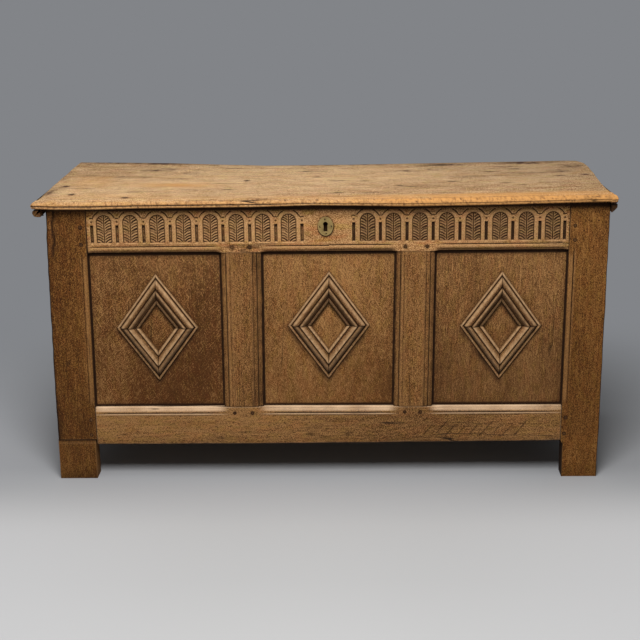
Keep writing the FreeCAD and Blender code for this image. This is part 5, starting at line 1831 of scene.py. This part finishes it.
    def build(self) -> None:
        """Make both boards and the two end cleats."""
        material = LID_OAK.material("oak_lid_boards", Grain.LEVEL, 5)
        for name, front in (("front", True), ("rear", False)):
            mesh = self.board(name, front)
            publish(f"lid_{name}_plank", mesh, "lid", material, [f"lid_{name}_board"], 50)
        self.cleat("left", -1, 0.35, (
            (-640, 0), (-640, -6.5), (-655.5, -6.8), (-657.8, -9.5), (-657.6, -14.5), (-653.5, -20.4),
            (-647, -21.6), (-640, -21.6),
        ))
        self.cleat("right", 1, 0.75, (
            (640, 0), (640, -3.4), (652.6, -3.6), (652.4, -10.5), (646, -17.5), (641, -21.8), (640, -21.8),
        ))

    def board(self, name: str, front: bool) -> Mesh:
        """Sweep a board's section along the lid and close its ends.

        Args:
            name: The board's name.
            front: True for the front board, False for the rear board.

        Returns:
            The mesh, with its wear and grime painted on.
        """
        depth, fall = self.section(front)
        ends = np.array([0, 0.3, 0.8, 1.6, 3.0])
        between = steps((6, self.length - 6, 2.4))
        along = np.concatenate([ends, between, self.length - ends[::-1]]) / self.length
        shape = bmesh.new()
        bmesh.ops.create_grid(shape, x_segments=len(along) - 1, y_segments=len(depth), size=0.5)
        mesh = make_mesh(f"lid_{name}_plank", shape)
        unit = read(mesh.vertices, "co")
        column = np.rint((unit[:, 0] + 0.5) * (len(along) - 1)).astype(int)
        row = np.rint((unit[:, 1] + 0.5) * len(depth)).astype(int) % len(depth)
        share, plan, sunk = along[column], depth[row], fall[row]
        x, y = self.outline(share, plan)
        crisp = smooth(x, 120, -240)
        groove = bump(sunk, 0.63, 0.09) * (plan < -240)
        y = y - groove * 2.4 * (1 - crisp) + 0.5 * waves(x, sunk * 40, 30, 7.7) * (plan < -236)
        from_end = np.minimum(share, 1 - share) * self.length
        soft = rounding(from_end, 3.0 + 1.5 * waves(y, y * 0, 60, 9.1))
        high = self.top(x, y)
        past_side = np.abs(x) > self.overhang
        lowest = np.where(plan < BODY_FRONT + 25, self.underside, self.underside + 0.05)
        lowest = np.where(plan < BODY_FRONT - 1, self.lip(x), lowest)
        lowest = np.where(past_side, np.minimum(lowest, self.underside), lowest)
        z = high - sunk * (high - lowest)
        z = z - soft * (sunk < 0.5) + soft * (sunk >= 0.5) * past_side
        points = np.stack([x, y, z], 1) * MM
        mesh.vertices.foreach_set("co", points.ravel())
        with opened(mesh) as shape:
            bmesh.ops.remove_doubles(shape, verts=shape.verts, dist=1e-6)
            bmesh.ops.holes_fill(shape, edges=[edge for edge in shape.edges if edge.is_boundary])
            bmesh.ops.recalc_face_normals(shape, faces=shape.faces)
        weather(mesh, 0.8)
        self.stain(mesh)
        return mesh

    def stain(self, mesh: Mesh) -> None:
        """Paint the marks of use: stains, small burns, worn streaks, a darker rear and right side, and
        painted shade on the lip's lowest edge.

        Args:
            mesh: A board's mesh.
        """
        x, y, z = (read(mesh.vertices, "co") / MM).T

        def spread(marks: Sequence[Mark], ragged: float, size: float) -> Array:
            """Add up marks with ragged edges.

            Args:
                marks: The marks.
                ragged: How far their edges wander, in millimetres.
                size: The length of that wandering.

            Returns:
                Their strength at each point.
            """
            bent_x = x + ragged * waves(x, y, size, 3.9)
            bent_y = y + ragged * 0.5 * waves(x, y, size, 8.9)
            return blots(bent_x, bent_y, marks)

        upper = z > self.underside + 8
        dark = spread(self.stains, 16, 22) * (1.15 + 1.4 * waves(x, y, 13, 6.6))
        dark += 2.0 * spread(self.specks, 3, 12)
        dark += (0.26 * smooth(x, 60, 520) * smooth(y, -215, 60) + 0.3 * smooth(y, 195, 236)) * upper
        nose = smooth(y, -236, -246)
        lower = nose * (bump(z, self.lip(x) + 7.2, 1.8) * smooth(x, 120, -240) * 0.5
                        + 0.9 * np.clip(waves(x * 1.6, z, 7, 5.1), 0, 1)
                        + 1.4 * np.clip(waves(x, z * 1.4, 4.5, 2.1) - 0.15, 0, 1))
        # The lip's lowest edge is painted dark as shade.
        paint(mesh, "grime", dark * upper + lower + 0.9 * smooth(z, self.lip(x) + 1.5, self.lip(x)) * nose)
        rubbed = spread(self.streaks, 20, 40) * upper + nose * (0.3 + 0.5 * smooth(x, -100, 300))
        paint(mesh, "wear", rubbed)

    def cleat(self, name: str, sign: int, dirt: float, section: Sequence[Span]) -> None:
        """Make the rounded cleat below one end of the lid.

        Args:
            name: The cleat's side.
            sign: -1 for the left or 1 for the right.
            dirt: How dirty it is.
            section: X, and the height over the lid's underside, of its corners.
        """
        shape = bmesh.new()
        verts = [shape.verts.new((x * MM, self.cleat_front * MM, (self.underside + rise) * MM))
                 for x, rise in section]
        face = shape.faces.new(verts)
        grown = bmesh.ops.extrude_face_region(shape, geom=[face], use_keep_orig=True)["geom"]
        moved = [item for item in grown if isinstance(item, bmesh.types.BMVert)]
        bmesh.ops.translate(shape, verts=moved, vec=(0, -2 * self.cleat_front * MM, 0))
        bmesh.ops.recalc_face_normals(shape, faces=shape.faces)
        along = [edge for edge in shape.edges if abs(edge.verts[0].co.y - edge.verts[1].co.y) > 0.1]
        bmesh.ops.subdivide_edges(shape, edges=along, cuts=30, use_grid_fill=True)
        end = abs(self.cleat_front) * MM
        ends = [edge for edge in shape.edges if all(abs(abs(vert.co.y) - end) < 1e-4 for vert in edge.verts)]
        soften(shape, ends, 2.0, 3)
        mesh = make_mesh(f"{name}_lid_cleat", shape)
        z = read(mesh.vertices, "co")[:, 2] / MM
        # Painted shadow along the cleat's top, in the gap under the lid.
        paint(mesh, "grime", dirt + smooth(z, self.underside - 4.5, self.underside - 3))
        material = MOULDING_OAK.material(f"oak_{name}_cleat", Grain.DEEP, 60 + sign)
        publish(f"{name}_lid_cleat", mesh, "lid", material, [f"lid_{name}_cleat"])


# ---------------- pegs, ironwork and the rest


@dataclass
class Pegs:
    """The oak pegs that show on the front, cut off a little proud."""

    radius: float = 4.8
    length: float = 26.0
    places: tuple[tuple[float, float, float], ...] = (
        (-554, 611, 1.0), (-554.5, 570.5, 0.9), (563, 606, 1.0), (563.4, 573, 0.7), (557, 148, 1.1),
        (555, 108, 1.1), (-557, 148, 0.5), (-558, 110, 0.4), (-211, 562, 0.2), (-171, 561.5, 1.3),
        (182, 561, 1.2), (231, 561, 1.2), (-217, 163, 1.5), (-175, 163, 0.9), (182, 164, 1.2),
        (218, 163.5, 1.2),
    )

    def build(self) -> None:
        """Make the front's pegs as one piece of separate solids, darker where they took up dirt."""
        hand = np.random.default_rng(5)
        joined = bmesh.new()
        shades = []
        for x, z, dirt in self.places:
            proud = hand.uniform(0.2, 0.9)
            radius = self.radius * hand.uniform(0.9, 1.1)
            turn = Matrix.Rotation(math.pi / 2, 4, "X") @ Matrix.Rotation(hand.uniform(0, 1), 4, "Z")
            middle = Vector((x, BODY_FRONT + self.length / 2 - proud, z)) * MM
            before = len(joined.verts)
            made = bmesh.ops.create_cone(joined, cap_ends=True, segments=9, radius1=radius * MM,
                                         radius2=radius * MM, depth=self.length * MM,
                                         matrix=Matrix.Translation(middle) @ turn)
            for vert in made["verts"]:
                offset = vert.co - middle
                vert.co += Vector((offset.x, 0, offset.z)) * hand.uniform(-0.08, 0.08)
            rim = {edge for vert in made["verts"] for edge in vert.link_edges
                   if all(end.co.y < middle.y for end in edge.verts)}
            soften(joined, rim, 0.7)
            front = min((face for face in joined.faces if len(face.verts) > 8 and
                         math.hypot(*(face.calc_center_median() - middle).xz) < radius * MM),
                        key=lambda face: face.calc_center_median().y)
            bmesh.ops.inset_region(joined, faces=[front], thickness=1.4 * MM, depth=0, use_even_offset=True)
            joined.verts.ensure_lookup_table()
            for vert in joined.verts[before:]:
                away = math.hypot(vert.co.x - middle.x, vert.co.z - middle.z)
                shades.append(0.45 * dirt + (0.6 if away > 0.72 * radius * MM else 0.0))
        mesh = make_mesh("front_oak_pegs", joined)
        paint(mesh, "grime", np.array(shades))
        material = PEG_OAK.material("oak_front_pegs", Grain.DEEP, 70)
        publish("front_oak_pegs", mesh, "carcass", material, ["front_pegs"])


@dataclass
class PlainTimbers:
    """The timbers of the sides, back and floor, kept as built with softened edges."""

    deep: tuple[str, ...] = ("left_top_rail", "left_bottom_rail", "right_top_rail", "right_bottom_rail")
    level: tuple[str, ...] = ("rear_top_rail", "rear_bottom_rail", "floor_board_1", "floor_board_2",
                              "floor_board_3", "floor_board_4")
    first_seed: int = 81

    def grain(self, node: str, slot: str) -> Grain:
        """Say which way a node's fibres run.

        Args:
            node: The node's name.
            slot: Its material slot.

        Returns:
            The grain: deep for pegs and side rails, upright for what isn't named.
        """
        if slot == "oak_peg" or node in self.deep:
            return Grain.DEEP
        return Grain.LEVEL if node in self.level else Grain.UPRIGHT

    def build(self, record: dict) -> None:
        """Dress every wooden node that nothing else stands for.

        Args:
            record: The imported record, which names each node's slot and body.
        """
        slots = {row["node"]: row["material_slot"] for row in record["subparts"]}
        finishes = {"oak_frame": FRAME_OAK, "oak_panel": PANEL_OAK, "oak_inner": INNER_OAK,
                    "oak_peg": PEG_OAK}
        nodes = [node for node, slot in slots.items() if slot in finishes and not node.startswith("front_")]
        for seed, node in enumerate(nodes, self.first_seed):
            slot = slots[node]
            material = finishes[slot].material(f"oak_{node}", self.grain(node, slot), seed)
            arris, least = (0.4, 4) if slot == "oak_peg" else (1.2, 15)
            mesh = worn_copy(node, arris, least)
            publish(f"{node}_timber", mesh, "carcass", material, [node])


@dataclass
class Ironwork:
    """Hinges, lock, staple and nails in forged iron, and the brass escutcheon."""

    plate_shift: Span = (5.8, -4.5)
    plate_squeeze: float = 0.93
    hole_drop: float = 2.0
    pin_places: tuple[Span, ...] = ((0.5, 625.2), (-10.8, 607.4), (15.1, 609.7), (3.4, 592.8))
    arris: float = 0.35
    least_edge: float = 3.0
    least_nail_edge: float = 0.8

    def reshape(self, mesh: Mesh, pins: bool) -> None:
        """Move the plate or its pins to where they sit on the real lock.

        Args:
            mesh: The mesh to change.
            pins: True for the pins, False for the plate.
        """
        points = read(mesh.vertices, "co")
        x, z = points[:, 0] / MM, points[:, 2] / MM
        middle_x, middle_z = (x.min() + x.max()) / 2, (z.min() + z.max()) / 2
        if pins:
            upright = np.abs(z - middle_z) > np.abs(x - middle_x)
            which = np.where(upright, np.where(z > middle_z, 0, 3), np.where(x < middle_x, 1, 2))
            for number, (new_x, new_z) in enumerate(self.pin_places):
                own = which == number
                x[own] += new_x - (x[own].min() + x[own].max()) / 2
                z[own] += new_z - (z[own].min() + z[own].max()) / 2
            paint(mesh, "grime", np.full(len(x), 1.0))
        else:
            radius = np.hypot((x - middle_x) / np.ptp(x), (z - middle_z) / np.ptp(z)) * 2
            outer = smooth(radius, 0.7, 0.8)
            squeeze = self.plate_squeeze * outer + 1 - outer
            z[:] = middle_z + (z - middle_z) * squeeze + self.plate_shift[1] - self.hole_drop * (1 - outer)
            x[:] = middle_x + (x - middle_x) * squeeze + self.plate_shift[0]
            front = points[:, 1] < points[:, 1].min() + 0.6 * MM
            paint(mesh, "wear", 0.8 * front * smooth(radius, 0.8, 1.0))
        points[:, 0], points[:, 2] = x * MM, z * MM
        mesh.vertices.foreach_set("co", points.ravel())

    def build(self, record: dict) -> None:
        """Dress every metal node, with softened edges.

        Args:
            record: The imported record, which names each node's slot and body.
        """
        materials = {"iron": IRON.material("forged_iron"), "spring_steel": SPRING.material("spring_steel"),
                     "brass": BRASS.material("old_brass")}
        bodies = {node: body for body, nodes in record["behaviour"]["bodies"].items() for node in nodes}
        for row in record["subparts"]:
            node, slot = row["node"], row["material_slot"]
            if slot not in materials:
                continue
            small = node.endswith(("nails", "pins"))
            mesh = worn_copy(node, self.arris, self.least_nail_edge if small else self.least_edge)
            if slot == "brass":
                self.reshape(mesh, node.endswith("pins"))
            publish(f"{node}_metal", mesh, bodies[node], materials[slot], [node])


# ---------------- studio


@dataclass
class Studio:
    """The floor, the light and the camera."""

    grey: Colour = srgb(130, 132, 136)
    pale: Colour = srgb(179, 179, 179)
    camera_place: tuple[float, float, float] = (0.0668, -3.2634, 1.2679)
    pitch: float = 16.123
    yaw: float = -1.515
    roll: float = -0.805
    focal_pixels: float = 1375.86
    frame_pixels: float = 640.0
    sensor: float = 36.0
    sky: float = 0.17
    floor_radius: float = 6.0
    lamps: tuple[tuple, ...] = (
        ("key", (-0.05, -1.7, 2.15), (0, -0.1, 0.4), 1.0, 58),
        ("overhead", (-0.1, -0.3, 2.5), (0, 0, 0.4), 1.8, 16),
    )

    def build(self) -> None:
        """Make the whole studio."""
        self.build_world()
        self.build_floor()
        self.build_lamps()
        self.build_camera()
        bpy.context.scene.view_settings.view_transform = "Standard"

    def build_world(self) -> None:
        """Light the scene from all round and show plain grey behind it."""
        world = bpy.data.worlds.new("studio")
        bpy.context.scene.world = world
        shader = Shader(world)
        path = shader.node("ShaderNodeLightPath").outputs
        rays = [Value(shader, path[name]) for name in ("Is Camera Ray", "Is Glossy Ray")]
        sky = shader.value("ShaderNodeBackground", None, {0: (1, 1, 1), 1: self.sky}, 0)
        wall = shader.value("ShaderNodeBackground", None, {0: self.grey}, 0)
        seen = shader.maths("MAXIMUM", *rays)
        shader.close(shader.value("ShaderNodeMixShader", None, {0: seen, 1: sky, 2: wall}, 0))

    def build_floor(self) -> None:
        """Make a round floor that is pale in front and fades into the grey."""
        shape = bmesh.new()
        bmesh.ops.create_circle(shape, cap_ends=True, segments=96, radius=self.floor_radius)
        floor = bpy.data.objects.new("floor", make_mesh("floor", shape))
        bpy.context.scene.collection.objects.link(floor)
        shader = Shader(bpy.data.materials.new("studio_floor"))
        place = shader.value("ShaderNodeTexCoord", None, None, "Object")
        apart = shader.node("ShaderNodeSeparateXYZ", None, {0: place})
        across, depth = Value(shader, apart.outputs[0]), Value(shader, apart.outputs[1])
        # The floor's colour changes with depth, painted lighter behind the chest, where its shadow falls, and
        # lighter toward the front sides.
        stops = ((0.0, srgb(183, 183, 183)), (0.12, self.pale), (0.25, self.pale),
                 (0.42, srgb(166, 167, 170)), (0.62, srgb(178, 180, 184)), (0.8, srgb(178, 180, 184)))
        colour = shader.ramp((depth + 1.0) / 2.0, stops)
        # A painted shadow of the chest on the floor behind it to the right.
        floor_painted_shadow = across.rise(0.3, 0.8) * depth.rise(-0.45, -0.1) * depth.rise(1.2, 0.6)
        colour = shader.mix(floor_painted_shadow * 0.2, colour, srgb(84, 84, 80))
        sides = across.maths("ABSOLUTE").rise(0.15, 0.95) * depth.rise(-0.25, -0.55)
        colour = shader.mix(sides, colour, srgb(194, 194, 195))
        lit = shader.value("ShaderNodeBsdfDiffuse", None, {"Color": colour}, 0)
        flat = shader.value("ShaderNodeEmission", None, {"Color": self.grey}, 0)
        centred = shader.vector("ADD", place, (0, 0.4, 0))
        far = shader.value("ShaderNodeVectorMath", {"operation": "LENGTH"}, {0: centred}, "Value")
        mixed = shader.value("ShaderNodeMixShader", None, {0: far.rise(1.0, 1.9), 1: lit, 2: flat}, 0)
        shader.close(mixed)
        floor.data.materials.append(shader.owner)
        floor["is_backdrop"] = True

    def build_lamps(self) -> None:
        """Hang a soft lamp high before the front and a wider one overhead."""
        for name, spot, aim, size, power in self.lamps:
            lamp = bpy.data.lights.new(name, "AREA")
            lamp.shape = "SQUARE"
            lamp.size = size
            lamp.energy = power
            made = bpy.data.objects.new(name, lamp)
            made.location = spot
            made.rotation_euler = (Vector(aim) - Vector(spot)).to_track_quat("-Z", "Y").to_euler()
            bpy.context.scene.collection.objects.link(made)

    def build_camera(self) -> None:
        """Set the camera up from its pitch, yaw and roll."""
        pitch, yaw, roll = (math.radians(value) for value in (self.pitch, self.yaw, self.roll))
        forward = Vector((math.sin(yaw) * math.cos(pitch), math.cos(yaw) * math.cos(pitch), -math.sin(pitch)))
        right = Vector((math.cos(yaw), -math.sin(yaw), 0))
        upward = right.cross(forward)
        across = math.cos(roll) * right + math.sin(roll) * upward
        upward = math.cos(roll) * upward - math.sin(roll) * right
        lens = bpy.data.cameras.new("view")
        lens.sensor_width = self.sensor
        lens.lens = self.focal_pixels / self.frame_pixels * self.sensor
        camera = bpy.data.objects.new("view", lens)
        turned = Matrix((across, upward, -forward)).transposed().to_4x4()
        camera.matrix_world = Matrix.Translation(self.camera_place) @ turned
        bpy.context.scene.collection.objects.link(camera)
        bpy.context.scene.camera = camera


def corners() -> list[list[float]]:
    """Give the shown object's lowest and highest corner as plain lists."""
    return [list(corner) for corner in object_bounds()]


def main() -> None:
    """Build the coffer and its studio."""
    logging.basicConfig(level=logging.INFO, format="%(message)s")
    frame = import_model()
    Studio().build()
    Arcade().build()
    FrontFrame().build()
    Panels().build()
    for number, side in enumerate(LOZENGE_CENTRES):
        Lozenge(side).build(100 + 7 * number)
    Lid().build()
    Pegs().build()
    PlainTimbers().build(frame["record"])
    Ironwork().build(frame["record"])


if __name__ == "__main__":
    main()
